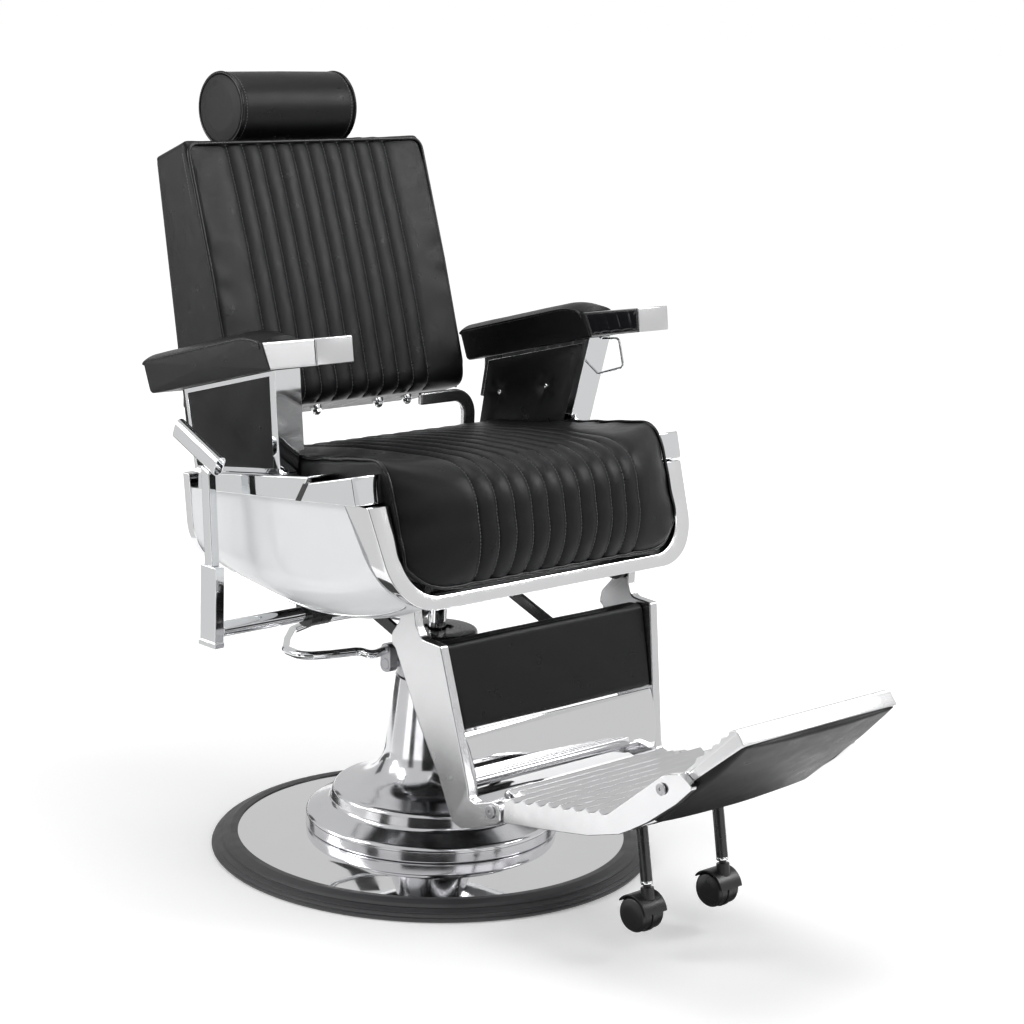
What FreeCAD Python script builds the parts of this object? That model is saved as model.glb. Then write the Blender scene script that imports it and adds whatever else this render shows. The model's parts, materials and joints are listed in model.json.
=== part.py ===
import FreeCAD, Part
import Sketcher
import math
import os
from FreeCAD import Placement, Rotation, Vector

# Hydraulic barber chair in millimetres. Z is up, the origin is under the pedestal on the floor,
# the sitter looks along -Y, and the right hand side of the sitter is at -X. Right hand pieces are
# modelled and their left hand twins are mirrored.

SIZES = {
    # Base and pedestal
    "base_radius": 325,            # outside of the rubber ring
    "ring_width": 34,
    "ring_height": 20,
    "ring_groove": 2.5,            # depth of the grooves round the ring
    "plate_edge": 22,              # height of the base plate at its rim
    "plate_height": 25,            # height of the base plate under the skirt
    "plate_wall": 10,
    "foot_radius": 187,            # foot ring of the skirt
    "foot_height": 25,
    "shoulder_radius": 142,        # small step of the skirt above its foot ring
    "neck_radius": 59,             # top of the skirt
    "skirt_wall": 3,
    "cylinder_radius": 45,
    "head_bottom": 262,            # where the pump head turns on the cylinder
    "head_radius": 57,
    "head_height": 54,
    "cap_radius": 60,
    "cap_height": 16,
    "ram_radius": 14,
    "ram_bottom": 100,
    "fit": 0.05,                   # radial clearance of a running fit
    "gap": 0.3,                    # clearance of pieces that only lie beside each other
    # Pump lever
    "lever_axis_y": 25,
    "lever_axis_rise": 22,         # above the foot of the pump head
    "lever_shaft_radius": 8,
    "clamp_outside": 77,
    "clamp_thickness": 15,
    "rod_radius": 5,
    "rod_rise": 21,                # of the rod above the lever shaft
    "rod_reach": 216,              # how far the rod reaches behind the pedestal axis
    "rod_half_width": 196,
    # Tub under the seat
    "tub_half_width": 300,
    "tub_wall": 3,
    "tub_bottom": 442,             # lower edge of the front rim
    "tub_belly": 388,              # lowest line of the tub sides
    "tub_rear_bottom": 421,
    "tub_opening": 224,            # half width of the open bottom
    "tub_corner": 80,              # radius of the lower corners
    "rim_width": 18,               # of the front rim below the cushion
    "rim_side": 23,                # of the front rim beside the cushion
    "rim_front": -245,             # front face of the rim at its foot
    "rim_foot_depth": 24,
    "rim_top_depth": 52,
    "rim_lean": 21,                # degrees that the front face leans back
    "rear_rim_front": 197,
    "rear_rim_depth": 15,
    "rear_wall_top": 548,
    # Side rails on the tub
    "rail_outside": 312,
    "rail_inside": 264,
    "rail_height": 26,
    "rail_rear": 165,
    "rail_rear_foot": 546,
    "rail_front_foot": 582,
    "rail_front": -182,
    "rail_joint": -64,
    "joint_slant": 16,
    # Arm rests
    "arm_outside": 297,            # outer face of the arm frame where it stands on the rail
    "arm_thickness": 44,
    "arm_splay": 9.6,              # degrees that the arm frames lean outward
    "arm_front": -1,
    "arm_rear": 200,
    "post_lean": 16,               # how far the front edge leans forward up to the pad
    "post_border": 14,
    "arm_border": 7,
    "pad_outside": 334,
    "pad_width": 62,
    "pad_front": -18,
    "pad_front_foot": 742.5,
    "pad_rear": 244,
    "pad_rear_foot": 673.6,
    "pad_thickness": 46,
    "cap_length": 104,
    "hoop_radius": 2,
    "hoop_drop": 55,
    "hoop_reach": 46,
    # Seat
    "seat_half_width": 262,
    "seat_rear": 165,
    "seat_underside": 558,
    "board_thickness": 12,
    "seat_rear_height": 594,
    "seat_front_height": 630,
    "seat_nose": -262,             # furthest front of the cushion
    "seat_apron_foot": 466,
    "seat_channel": 30.7,          # pitch of the sewn channels
    "sewn_depth": 4,
    "frame_top": 530,
    "frame_plate": 10,
    "hub_bottom": 380,
    "hub_radius": 32,
    # Back
    "back_pivot_y": 190,
    "back_pivot_z": 560,
    "back_lean": 18.78,
    "back_front": -26.7,           # front face of the cushion from the pivot, square to the back
    "back_foot": 88,               # lower edge of the cushion above the pivot, along the back
    "back_top": 480,
    "back_half_width": 225,
    "back_rear_top": 45,
    "back_rear_foot": 75,
    "back_channel": 30,
    "back_panel": 8,
    "torque_radius": 10,
    "hook_width": 24,
    "hook_outside": 238,
    "hook_thickness": 10,
    "hook_top": 641,
    "hook_inside": 125,
    # Head rest
    "roll_radius": 54.7,
    "roll_half_length": 110.2,
    "roll_height": 539.4,
    "roll_y": 29.3,
    "post_width": 30,
    "post_thickness": 8,
    "post_foot": 330,
    "sleeve_wall": 2,
    # Leg rest and its links
    "leg_pivot_y": -175,
    "leg_pivot_z": 430,
    "crank_y": -25,                # from each pivot to its link pin
    "crank_z": -122,
    "link_x": 128,
    "link_thickness": 6,
    "link_width": 18,
    "leg_pin_radius": 6,
    "leg_arm_inside": 182.6,       # inner face of a leg arm at the foot of the calf pad
    "leg_arm_thickness": 15,
    "leg_splay": 6.28,             # degrees that the leg arms spread upward
    "calf_foot": 271,
    "calf_top": 386,
    "calf_thickness": 22,
    "leg_foot_y": -328,
    "leg_foot_z": 178,
    # Foot rest
    "deck_rear": -350,
    "deck_half_width": 187.5,
    "deck_taper": 5.14,            # degrees that each side runs in towards the front
    "deck_front": -565,
    "rib_pitch": 21.3,
    "rib_height": 5,
    "flip_y": -611,
    "flip_z": 280,
    "flip_slope": 42.5,
    "flip_half_width": 149,
    "flip_reach": 143,
    "flip_tail": 28,
    "flip_pad": 21,
    "screw_radius": 5,
    # Casters under the foot rest
    "caster_x": 74.4,
    "caster_y": -510.1,
    "caster_z": 103.6,
    "caster_lean": 10.46,
    "caster_tube_radius": 8,
    "stem_radius": 5,
    "wheel_radius": 24.5,
    "wheel_half_width": 21,
    "wheel_trail": 14.4,
    "wheel_drop": 39.1,
    # Recline lever
    "shaft_y": 75,
    "shaft_z": 366,
    "shaft_radius": 11,
    "lever_outside": 353,
    "lever_thickness": 14,
    "grip_rear_y": 166,
    "grip_rear_z": 637.6,
    "grip_front_y": 71,
    "grip_front_z": 598,
}

os.makedirs("parts", exist_ok=True)
document = FreeCAD.newDocument("BarberChair")
sheet = document.addObject("Spreadsheet::Sheet", "Sizes")
for row, (name, value) in enumerate(SIZES.items(), start=1):
    sheet.set("A%d" % row, name)
    sheet.set("B%d" % row, str(value))
    sheet.setAlias("B%d" % row, name)
document.recompute()


class Size:
    """A length or an angle: its number, and the sheet formula that it follows."""

    def __init__(self, number, formula):
        self.number = float(number)
        self.formula = formula

    def __add__(self, other):
        other = as_size(other)
        return Size(self.number + other.number, "(%s + %s)" % (self.formula, other.formula))

    def __sub__(self, other):
        other = as_size(other)
        return Size(self.number - other.number, "(%s - %s)" % (self.formula, other.formula))

    def __mul__(self, other):
        other = as_size(other)
        return Size(self.number * other.number, "(%s * %s)" % (self.formula, other.formula))

    def __truediv__(self, other):
        other = as_size(other)
        return Size(self.number / other.number, "(%s / %s)" % (self.formula, other.formula))

    def __rtruediv__(self, other):
        return as_size(other) / self

    def __neg__(self):
        return Size(-self.number, "(-(%s))" % self.formula)

    def __radd__(self, other):
        return as_size(other) + self

    def __rsub__(self, other):
        return as_size(other) - self

    def __rmul__(self, other):
        return as_size(other) * self


def as_size(value):
    return value if isinstance(value, Size) else Size(value, "%.10g" % value)


def number(value):
    return value.number if isinstance(value, Size) else float(value)


def tangent(angle):
    return Size(math.tan(math.radians(angle.number)), "tan(%s * 1 deg)" % angle.formula)


def sine(angle):
    return Size(math.sin(math.radians(angle.number)), "sin(%s * 1 deg)" % angle.formula)


def cosine(angle):
    return Size(math.cos(math.radians(angle.number)), "cos(%s * 1 deg)" % angle.formula)


def leant(base_y, base_z, y, z, lean):
    """Where a place of a leant frame lies in the chair's own frame."""
    return (base_y + y * cosine(lean) + z * sine(lean), base_z - y * sine(lean) + z * cosine(lean))


class Sheet:
    """Every cell of the sheet as a Size, by its name."""


S = Sheet()
for name, value in SIZES.items():
    setattr(S, name, Size(sheet.get(name), "Sizes." + name))


def bind(thing, path, value):
    """Ties one property to the formula of a size."""
    if isinstance(value, Size):
        thing.setExpression(path, value.formula)
    else:
        setattr(thing, path, value)


def body(label):
    made = document.addObject("PartDesign::Body", label)
    made.Label = label
    return made


def sketch(owner, plane, offset=0.0):
    """An empty sketch on one origin plane of its own body, moved along that plane's normal."""
    made = owner.newObject("Sketcher::SketchObject", "Outline")
    planes = [item for item in owner.Origin.OriginFeatures if item.Role == plane + "_Plane"]
    made.AttachmentSupport = [(planes[0], "")]
    made.MapMode = "FlatFace"
    made.setExpression("AttachmentOffset.Base.z", as_size(offset).formula)
    return made


def fix(drawing, geometry, end, x, y):
    """Holds one point of a sketch at two sizes."""
    for kind, value in (("DistanceX", x), ("DistanceY", y)):
        index = drawing.addConstraint(Sketcher.Constraint(kind, geometry, end, number(value)))
        if isinstance(value, Size):
            drawing.setExpression("Constraints[%d]" % index, value.formula)


def outline(drawing, corners):
    """Draws a closed outline. A corner is (x, y), or (x, y, radius) where it is rounded."""
    places = [Vector(number(c[0]), number(c[1]), 0) for c in corners]
    radii = [number(c[2]) if len(c) > 2 else 0.0 for c in corners]
    count = len(corners)
    ends = []
    for i in range(count):
        back = (places[i - 1] - places[i]).normalize()
        ahead = (places[(i + 1) % count] - places[i]).normalize()
        half = back.getAngle(ahead) / 2
        reach = radii[i] / math.tan(half) if radii[i] else 0.0
        middle = (back + ahead).normalize() * (radii[i] / math.sin(half)) if radii[i] else Vector()
        ends.append((places[i] + back * reach, places[i] + ahead * reach, places[i] + middle))
    lines = []
    for i in range(count):
        line = Part.LineSegment(ends[i][1], ends[(i + 1) % count][0])
        lines.append(drawing.addGeometry(line, False))
    for i in range(count):
        before, after = lines[i - 1], lines[i]
        if not radii[i]:
            drawing.addConstraint(Sketcher.Constraint("Coincident", before, 2, after, 1))
            fix(drawing, after, 1, corners[i][0], corners[i][1])
            continue
        start, finish, centre = ends[i]
        first = math.atan2(start.y - centre.y, start.x - centre.x)
        last = math.atan2(finish.y - centre.y, finish.x - centre.x)
        left = ((start - centre).cross(finish - centre)).z > 0
        circle = Part.Circle(centre, Vector(0, 0, 1), radii[i])
        arc = Part.ArcOfCircle(circle, first, last) if left else Part.ArcOfCircle(circle, last, first)
        arc = drawing.addGeometry(arc, False)
        one, two = (1, 2) if left else (2, 1)
        point = drawing.addGeometry(Part.Point(places[i]), True)
        drawing.addConstraint(Sketcher.Constraint("Tangent", before, 2, arc, one))
        drawing.addConstraint(Sketcher.Constraint("Tangent", after, 1, arc, two))
        drawing.addConstraint(Sketcher.Constraint("PointOnObject", point, 1, before))
        drawing.addConstraint(Sketcher.Constraint("PointOnObject", point, 1, after))
        fix(drawing, point, 1, corners[i][0], corners[i][1])
        index = drawing.addConstraint(Sketcher.Constraint("Radius", arc, radii[i]))
        if isinstance(corners[i][2], Size):
            drawing.setExpression("Constraints[%d]" % index, corners[i][2].formula)
    return drawing


def rectangle(drawing, x1, y1, x2, y2):
    return outline(drawing, [(x1, y1), (x2, y1), (x2, y2), (x1, y2)])


def circle(drawing, x, y, radius):
    shape = Part.Circle(Vector(number(x), number(y), 0), Vector(0, 0, 1), number(radius))
    geometry = drawing.addGeometry(shape, False)
    fix(drawing, geometry, 3, x, y)
    index = drawing.addConstraint(Sketcher.Constraint("Radius", geometry, number(radius)))
    if isinstance(radius, Size):
        drawing.setExpression("Constraints[%d]" % index, radius.formula)
    return drawing


def pad(owner, drawing, length, both=False, backward=False):
    """Adds the outline drawn out along its plane's normal, to both sides, or backward."""
    made = owner.newObject("PartDesign::Pad", "Pad")
    made.Profile = drawing
    made.Midplane = both
    made.Reversed = backward
    bind(made, "Length", length)
    owner.Tip = made
    return made


def pocket(owner, drawing, length=None, both=False, backward=False):
    """Cuts the outline away along its plane's normal, through everything or to a length."""
    made = owner.newObject("PartDesign::Pocket", "Pocket")
    made.Profile = drawing
    made.Midplane = both
    made.Reversed = backward
    if length is None:
        made.Type = "ThroughAll"
    else:
        bind(made, "Length", length)
    owner.Tip = made
    return made


def revolve(owner, drawing, axis="V_Axis"):
    made = owner.newObject("PartDesign::Revolution", "Revolution")
    made.Profile = drawing
    made.ReferenceAxis = (drawing, [axis])
    made.Angle = 360
    owner.Tip = made
    return made


def trim_to(owner, plane, corners, around=900.0):
    """Keeps only what lies inside the outline, seen square to the plane."""
    drawing = sketch(owner, plane)
    rectangle(drawing, -around, -around, around, around + 400)
    outline(drawing, corners)
    return pocket(owner, drawing, 4 * around, both=True)


def round_edges(owner, radius, chosen):
    """Rounds the edges of the last feature that the chosen test picks."""
    document.recompute()
    base = owner.Tip
    names = ["Edge%d" % (i + 1) for i, edge in enumerate(base.Shape.Edges) if chosen(edge)]
    made = owner.newObject("PartDesign::Fillet", "Fillet")
    made.Base = (base, names)
    bind(made, "Radius", radius)
    owner.Tip = made
    return made


def direction(edge):
    along = edge.Vertexes[-1].Point - edge.Vertexes[0].Point
    return along.normalize() if along.Length > 0.01 else Vector()


def stands(owner, y, z, lean, x=0.0):
    """Places a piece that is drawn in its own upright frame: moved, then leant back about X."""
    owner.Placement = Placement(Vector(number(x), number(y), number(z)),
                                Rotation(Vector(1, 0, 0), -number(lean)))
    for path, value in (("Base.x", x), ("Base.y", y), ("Base.z", z)):
        owner.setExpression("Placement." + path, as_size(value).formula)
    owner.setExpression("Placement.Rotation.Angle", "(%s) * 1 deg" % (-as_size(lean)).formula)


def mirrored(label, source):
    """The left hand twin of a right hand piece."""
    made = document.addObject("Part::Mirroring", label)
    made.Label = label
    made.Source = source
    made.Normal = Vector(1, 0, 0)
    return made


def pair(label, source):
    """One node of two separate solids: a right hand piece and its twin."""
    made = document.addObject("Part::Compound", label)
    made.Label = label
    made.Links = [source, mirrored(label + "_twin", source)]
    return made


PIECES = []


def keep(*pieces):
    """Notes the objects that are written as nodes, and hands back the first."""
    PIECES.extend(pieces)
    return pieces[0]


def feature(label, shape):
    made = document.addObject("Part::Feature", label)
    made.Label = label
    made.Shape = shape
    return made


def tube(label, points, radius, bend):
    """A round rod along straight runs with every inner corner bent to one radius."""
    points = [Vector(*[number(value) for value in point]) for point in points]
    edges = []
    last = points[0]
    for before, corner, after in zip(points, points[1:], points[2:]):
        back = (before - corner).normalize()
        ahead = (after - corner).normalize()
        half = back.getAngle(ahead) / 2
        reach = min(bend / math.tan(half), 0.48 * min((before - corner).Length, (after - corner).Length))
        middle = corner + (back + ahead).normalize() * reach * (1 / math.cos(half) - math.tan(half))
        start, finish = corner + back * reach, corner + ahead * reach
        edges.append(Part.LineSegment(last, start).toShape())
        edges.append(Part.Arc(start, middle, finish).toShape())
        last = finish
    edges.append(Part.LineSegment(last, points[-1]).toShape())
    path = Part.Wire(edges)
    ring = Part.Circle(points[0], points[1] - points[0], number(radius)).toShape()
    return feature(label, path.makePipeShell([Part.Wire([ring])], True, False))


def section(x, steps):
    """A closed outline across X. A step is an end point, or a point on an arc and its end point."""
    points = [step if len(step) == 2 and not isinstance(step[0], tuple) else step[1] for step in steps]
    edges = []
    for i, step in enumerate(steps):
        start = Vector(x, *points[i - 1])
        finish = Vector(x, *points[i])
        if isinstance(step[0], tuple):
            edges.append(Part.Arc(start, Vector(x, *step[0]), finish).toShape())
        else:
            edges.append(Part.LineSegment(start, finish).toShape())
    return Part.Wire(edges)


def sewn_cushion(label, half_width, pitch, lines, depth, outline_at):
    """Lofts the cover across X. It is drawn in at the sewn lines and round its two sides.

    outline_at(x, sink) gives the outline across X at a place where the cover is sunk.
    """
    last = pitch * (lines - 1) / 2
    margin = half_width - last
    side = [(last, depth), (last + 0.1 * margin, 0.3 * depth), (last + 0.3 * margin, 0.0),
            (half_width - 14, 0.0), (half_width - 5, 0.8 * depth), (half_width, 2.8 * depth)]
    places = [(-x, sink) for x, sink in reversed(side)]
    for i in range(lines - 1):
        left = -last + pitch * i
        places += [(left + 0.15 * pitch, 0.3 * depth), (left + 0.38 * pitch, 0.0),
                   (left + 0.62 * pitch, 0.0), (left + 0.85 * pitch, 0.3 * depth),
                   (left + pitch, depth)]
    places += side[1:]
    return feature(label, Part.makeLoft([section(x, outline_at(x, sink)) for x, sink in places],
                                        True, True))


def hole(owner, plane, offset, x, y, radius, length, backward=False, both=False):
    drawing = sketch(owner, plane, offset)
    circle(drawing, x, y, radius)
    return pocket(owner, drawing, length, both=both, backward=backward)


def boss(owner, plane, offset, x, y, radius, length, backward=False, both=False):
    drawing = sketch(owner, plane, offset)
    circle(drawing, x, y, radius)
    return pad(owner, drawing, length, both=both, backward=backward)


# Base on the floor

def make_base_plate():
    """Cast disc, hollow underneath, with a hub and six ribs."""
    owner = body("base_plate")
    rim = S.base_radius - S.ring_width - S.gap
    hub = S.cylinder_radius + 15
    under = S.plate_height - S.plate_wall
    revolve(owner, outline(sketch(owner, "XZ"), [
        (0, 0), (hub, 0, 1), (hub, under, 2), (rim - 12, under - 3, 2), (rim - 12, 1), (rim, 1),
        (rim, S.plate_edge), (S.foot_radius - 2, S.plate_height), (0, S.plate_height)]))
    rib = pad(owner, rectangle(sketch(owner, "XY", 3), hub - 3, -4, rim - 10, 4), under - 5)
    ribs = owner.newObject("PartDesign::PolarPattern", "Ribs")
    ribs.Originals = [rib]
    ribs.Axis = (owner.Origin.OriginFeatures[2], [""])
    ribs.Angle = 360
    ribs.Occurrences = 6
    owner.Tip = ribs
    keep(owner)


def make_rubber_ring():
    """Moulded ring with three grooves round its sloping face."""
    owner = body("base_rubber_ring")
    inner = S.base_radius - S.ring_width
    corners = [(inner, 0), (S.base_radius - 3, 0), (S.base_radius, 3)]
    grooves = 3
    for i in range(grooves):
        middle = S.ring_height * (0.32 + 0.24 * i)
        face = S.base_radius - 2.6 * i * i
        corners += [(face - i, middle - 1.4), (face - i - S.ring_groove, middle),
                    (face - i - 1, middle + 1.4)]
    corners += [(S.base_radius - 18, S.ring_height + 1), (inner + 6, S.plate_edge + 2.4, 2),
                (inner - 4, S.plate_edge + 2, 0.8), (inner - 4, S.plate_edge + 0.6),
                (inner, S.plate_edge + 0.4)]
    revolve(owner, outline(sketch(owner, "XZ"), corners))
    keep(owner)


def make_skirt():
    """Spun sheet: foot ring, small shoulder and a flared neck, one wall thick all along."""
    owner = body("base_skirt")
    foot = S.plate_height
    top = S.head_bottom - S.gap - 0.2
    wall = S.skirt_wall
    ring = foot + S.foot_height
    bend = S.neck_radius + 19
    flare = foot + 101
    corners = [
        (S.foot_radius, foot), (S.foot_radius, ring, 6), (S.shoulder_radius + 6, ring + 13, 8),
        (S.shoulder_radius, ring + 23, 5), (S.shoulder_radius - 9, ring + 25, 5),
        (bend, flare, 90), (S.neck_radius, top),
        (S.neck_radius - wall, top), (bend - wall, flare - wall, 90),
        (S.shoulder_radius - 9 - wall, ring + 25 - wall, 2), (S.shoulder_radius - wall, ring + 20, 2),
        (S.shoulder_radius + 6 - wall, ring + 13 - wall, 8), (S.foot_radius - wall, ring - wall, 3),
        (S.foot_radius - wall, foot)]
    revolve(owner, outline(sketch(owner, "XZ"), corners))
    keep(owner)


def make_cylinder():
    """Hydraulic cylinder with its flange on the base plate."""
    owner = body("base_cylinder")
    foot = S.plate_height
    bore = S.ram_radius + S.fit
    revolve(owner, outline(sketch(owner, "XZ"), [
        (0, foot), (S.cylinder_radius + 25, foot), (S.cylinder_radius + 25, foot + 8, 2),
        (S.cylinder_radius, foot + 12, 6), (S.cylinder_radius, S.head_bottom), (bore, S.head_bottom),
        (bore, S.ram_bottom - 40), (0, S.ram_bottom - 40)]))
    keep(owner)


# Pump head, which turns with the chair

def make_pump_head():
    """Housing round the ram with a cross bore for the lever shaft, and the cap on it."""
    housing = body("pump_housing")
    bore = S.ram_radius + S.fit
    top = S.head_bottom + S.head_height
    revolve(housing, outline(sketch(housing, "XZ"), [
        (bore, S.head_bottom), (S.head_radius, S.head_bottom, 3), (S.head_radius, top, 2),
        (bore, top)]))
    hole(housing, "YZ", 0, S.lever_axis_y, S.head_bottom + S.lever_axis_rise,
         S.lever_shaft_radius + S.fit, 4 * S.head_radius, both=True)
    cap = body("pump_cap")
    revolve(cap, outline(sketch(cap, "XZ"), [
        (bore, top), (S.cap_radius, top, 1), (S.cap_radius, top + S.cap_height, 5),
        (S.ram_radius + 12, top + S.cap_height, 2), (S.ram_radius + 8, top + S.cap_height - 3, 1),
        (bore, top + S.cap_height - 3)]))
    keep(housing, cap)


# Pump lever

def make_pump_lever():
    """Cross shaft, a clamp at each end, and one rod bent round behind the pedestal."""
    y, z = S.lever_axis_y, S.head_bottom + S.lever_axis_rise
    rod_z = z + S.rod_rise
    inner = S.clamp_outside - S.clamp_thickness
    shaft = body("pump_lever_shaft")
    boss(shaft, "YZ", 0, y, z, S.lever_shaft_radius, 2 * S.clamp_outside, both=True)
    clamp = body("pump_lever_clamp")
    pad(clamp, outline(sketch(clamp, "YZ", -S.clamp_outside), [
        (y - 12, z - 12, 10), (y + 12, z - 12, 10), (y + 10, rod_z + 9, 8), (y - 10, rod_z + 9, 8)]),
        S.clamp_thickness)
    hole(clamp, "YZ", -S.clamp_outside, y, z, S.lever_shaft_radius, 3 * S.clamp_thickness, both=True)
    clamps = pair("pump_lever_clamps", clamp)
    start = number(S.clamp_outside)
    reach, wide = number(S.rod_reach), number(S.rod_half_width)
    plan = [(-start - 1.7, number(y)), (-start - 36, 14), (-start - 31, 42), (-start - 80, 54),
            (-wide, 70), (-wide + 4, 112), (-wide + 38, 152), (-117, reach - 24), (-52, reach),
            (14, reach - 2), (58, 182), (start + 22, 62), (start + 20, number(y)), (start + 0.3, number(y))]
    rod = tube("pump_lever_rod", [(a, b, rod_z) for a, b in plan], S.rod_radius, 24)
    keep(shaft, clamps, rod)


# Tub

def u_shape(drawing, bottom, half_width, radius, top, width, side_width, inner_radius):
    """A U band seen from the front, open at the top."""
    foot = half_width - 15
    inner = half_width - side_width
    inner_foot = inner - 9
    outline(drawing, [
        (-half_width, top), (-foot, bottom, radius), (foot, bottom, radius), (half_width, top),
        (inner, top), (inner_foot, bottom + width, inner_radius),
        (-inner_foot, bottom + width, inner_radius), (-inner, top)])
    return drawing


def rail_foot(y):
    """Height of the underside of the side rails at a place along Y."""
    slope = (S.rail_front_foot - S.rail_rear_foot) / (S.rail_rear - S.rail_front)
    return S.rail_rear_foot + (S.rail_rear - y) * slope


def rim_rear_corners():
    """Foot and top of the slanted rear face of the front rim."""
    top = S.rail_front_foot + 3
    front_top = S.rim_front + (top - S.tub_bottom) * tangent(S.rim_lean)
    return (S.rim_front + S.rim_foot_depth, S.tub_bottom), (front_top + S.rim_top_depth, top)


def make_front_rim():
    """Chrome U round the front of the cushion, deeper at its top."""
    owner = body("tub_front_rim")
    top = S.rail_front_foot + 3
    drawing = u_shape(sketch(owner, "XZ", 100), S.tub_bottom, S.tub_half_width, S.tub_corner, top,
                      S.rim_width, S.rim_side, S.tub_corner - 5)
    pad(owner, drawing, 200)
    foot, head = rim_rear_corners()
    front_top = head[0] - S.rim_top_depth
    rail_y = head[0] - 2
    trim_to(owner, "YZ", [
        (S.rim_front, S.tub_bottom - 2), (foot[0], S.tub_bottom - 2), (foot[0], foot[1]),
        (rail_y, rail_foot(rail_y)), (front_top + 2, rail_foot(front_top + 2)),
        (S.rim_front, S.tub_bottom)])
    keep(owner)


def make_tub_sides():
    """Sheet sides with a round lower corner and a belly, cut to meet rim and rails."""
    owner = body("tub_side_right")
    foot, head = rim_rear_corners()
    wall = S.tub_wall
    top = S.rail_front_foot + 10
    side = S.tub_half_width
    start, end = S.rear_rim_front, S.rim_front + 12
    stations = 8
    drawings = []
    for i in range(stations + 1):
        along = i / stations
        sag = math.sin(math.pi * along) ** 0.8 if 0 < i < stations else 0
        level = S.tub_rear_bottom + (S.tub_bottom - S.tub_rear_bottom) * along
        bottom = level + (S.tub_belly - level) * sag
        inner = -side + 10 + S.tub_corner
        drawings.append(outline(sketch(owner, "XZ", -start - (end - start) * along), [
            (-side, top), (-side + 10, bottom, S.tub_corner), (inner, bottom), (inner, bottom + wall),
            (-side + 10 + wall, bottom + wall, S.tub_corner - wall), (-side + wall, top)]))
    loft = owner.newObject("PartDesign::AdditiveLoft", "Loft")
    loft.Profile = drawings[0]
    loft.Sections = drawings[1:]
    loft.Ruled = True
    owner.Tip = loft
    rail_y = head[0] - 2
    trim_to(owner, "YZ", [
        (foot[0] + 0.4, S.tub_belly - 40), (S.rear_rim_front, S.tub_belly - 40),
        (S.rear_rim_front, rail_foot(S.rear_rim_front) - S.gap),
        (rail_y + 0.4, rail_foot(rail_y) - S.gap), (foot[0] + 0.4, foot[1])])
    trim_to(owner, "XY", [(-side - 1, S.rim_front), (-S.tub_opening, S.rim_front),
                          (-S.tub_opening, start + 1), (-side - 1, start + 1)])
    keep(owner, mirrored("tub_side_left", owner))


def make_rear_rim():
    """U at the rear with a sheet wall across it."""
    owner = body("tub_rear_rim")
    drawing = u_shape(sketch(owner, "XZ", -S.rear_rim_front), S.tub_rear_bottom - 2,
                      S.tub_half_width + 4, S.tub_corner, rail_foot(S.rear_rim_front) + 20,
                      S.rim_width, S.rim_width, S.tub_corner - 12)
    pad(owner, drawing, S.rear_rim_depth, backward=True)
    side = S.tub_half_width - 8
    wall = sketch(owner, "XZ", -S.rear_rim_front - 8)
    outline(wall, [(-side, S.rear_wall_top), (-side + 20, S.tub_rear_bottom + 6, S.tub_corner),
                   (side - 20, S.tub_rear_bottom + 6, S.tub_corner), (side, S.rear_wall_top)])
    pad(owner, wall, S.tub_wall, backward=True)
    keep(owner)


# Seat

def make_seat_frame():
    """Welded frame: hub on the ram, plate with outriggers to the tub, leg ears, back brackets."""
    owner = body("seat_frame")
    under = S.frame_top - S.frame_plate
    wide = 215
    plate = sketch(owner, "XY", under)
    slot_in, slot_out = S.link_x - 15, S.link_x + 22
    rear = S.seat_rear - 5
    outline(plate, [
        (-wide, -165), (wide, -165), (wide, rear), (slot_out, rear), (slot_out, 50, 6),
        (slot_in, 50, 6), (slot_in, rear), (-slot_in, rear), (-slot_in, 50, 6), (-slot_out, 50, 6),
        (-slot_out, rear), (-wide, rear)])
    pad(owner, plate, S.frame_plate)
    sheet_top = S.rail_front_foot + 10
    reach = (S.tub_half_width - S.tub_wall - 2 * S.gap
             - 10 * (sheet_top - under) / (sheet_top - S.tub_belly))
    for y in (-130, 90):
        for side in (-1, 1):
            outrigger = sketch(owner, "XY", under)
            rectangle(outrigger, side * (wide - 5), y, side * reach, y + 30)
            pad(owner, outrigger, S.frame_plate)
    boss(owner, "XY", S.hub_bottom, 0, 0, S.hub_radius, under - S.hub_bottom)
    hole(owner, "XY", S.hub_bottom, 0, 0, S.ram_radius + S.fit, 110, backward=True)
    riser = S.seat_underside - S.board_thickness - S.frame_top
    for side in (-1, 1):
        rail = sketch(owner, "XY", S.frame_top)
        rectangle(rail, side * 60, -150, side * 90, 130)
        pad(owner, rail, riser)
    ear = S.leg_arm_inside + 3.4
    y, z = S.leg_pivot_y, S.leg_pivot_z
    for side in (-1, 1):
        web = sketch(owner, "YZ", side * (ear + 5))
        outline(web, [(y - 16, z - 16, 15), (y + 16, z - 16, 15), (y + 60, under), (y + 11, under),
                      (y - 16, z + 40, 20)])
        pad(owner, web, 10, both=True)
        boss(owner, "YZ", side * (ear + 9), y, z, S.leg_pin_radius, 24, backward=side < 0)
    y, z = S.back_pivot_y, S.back_pivot_z
    for side in (-1, 1):
        web = sketch(owner, "YZ", side * 175)
        outline(web, [(y - 70, under + 1), (y - 30, under + 1), (y + 10, z - 20, 8),
                      (y + 14, z + 4, 6), (y + 8, z + 14, 8), (y - 12, z + 14, 8),
                      (y - 15, z - 14), (y - 24, z - 24), (y - 70, S.frame_top)])
        pad(owner, web, 10, both=True)
    hole(owner, "YZ", 0, y, z, S.torque_radius + S.fit, 500, both=True)
    keep(owner)


def make_ram():
    ram = body("lift_ram")
    revolve(ram, outline(sketch(ram, "XZ"), [
        (0, S.ram_bottom), (S.ram_radius, S.ram_bottom, 1), (S.ram_radius, S.hub_bottom + 109.5, 1),
        (0, S.hub_bottom + 109.5)]))
    keep(ram)


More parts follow.
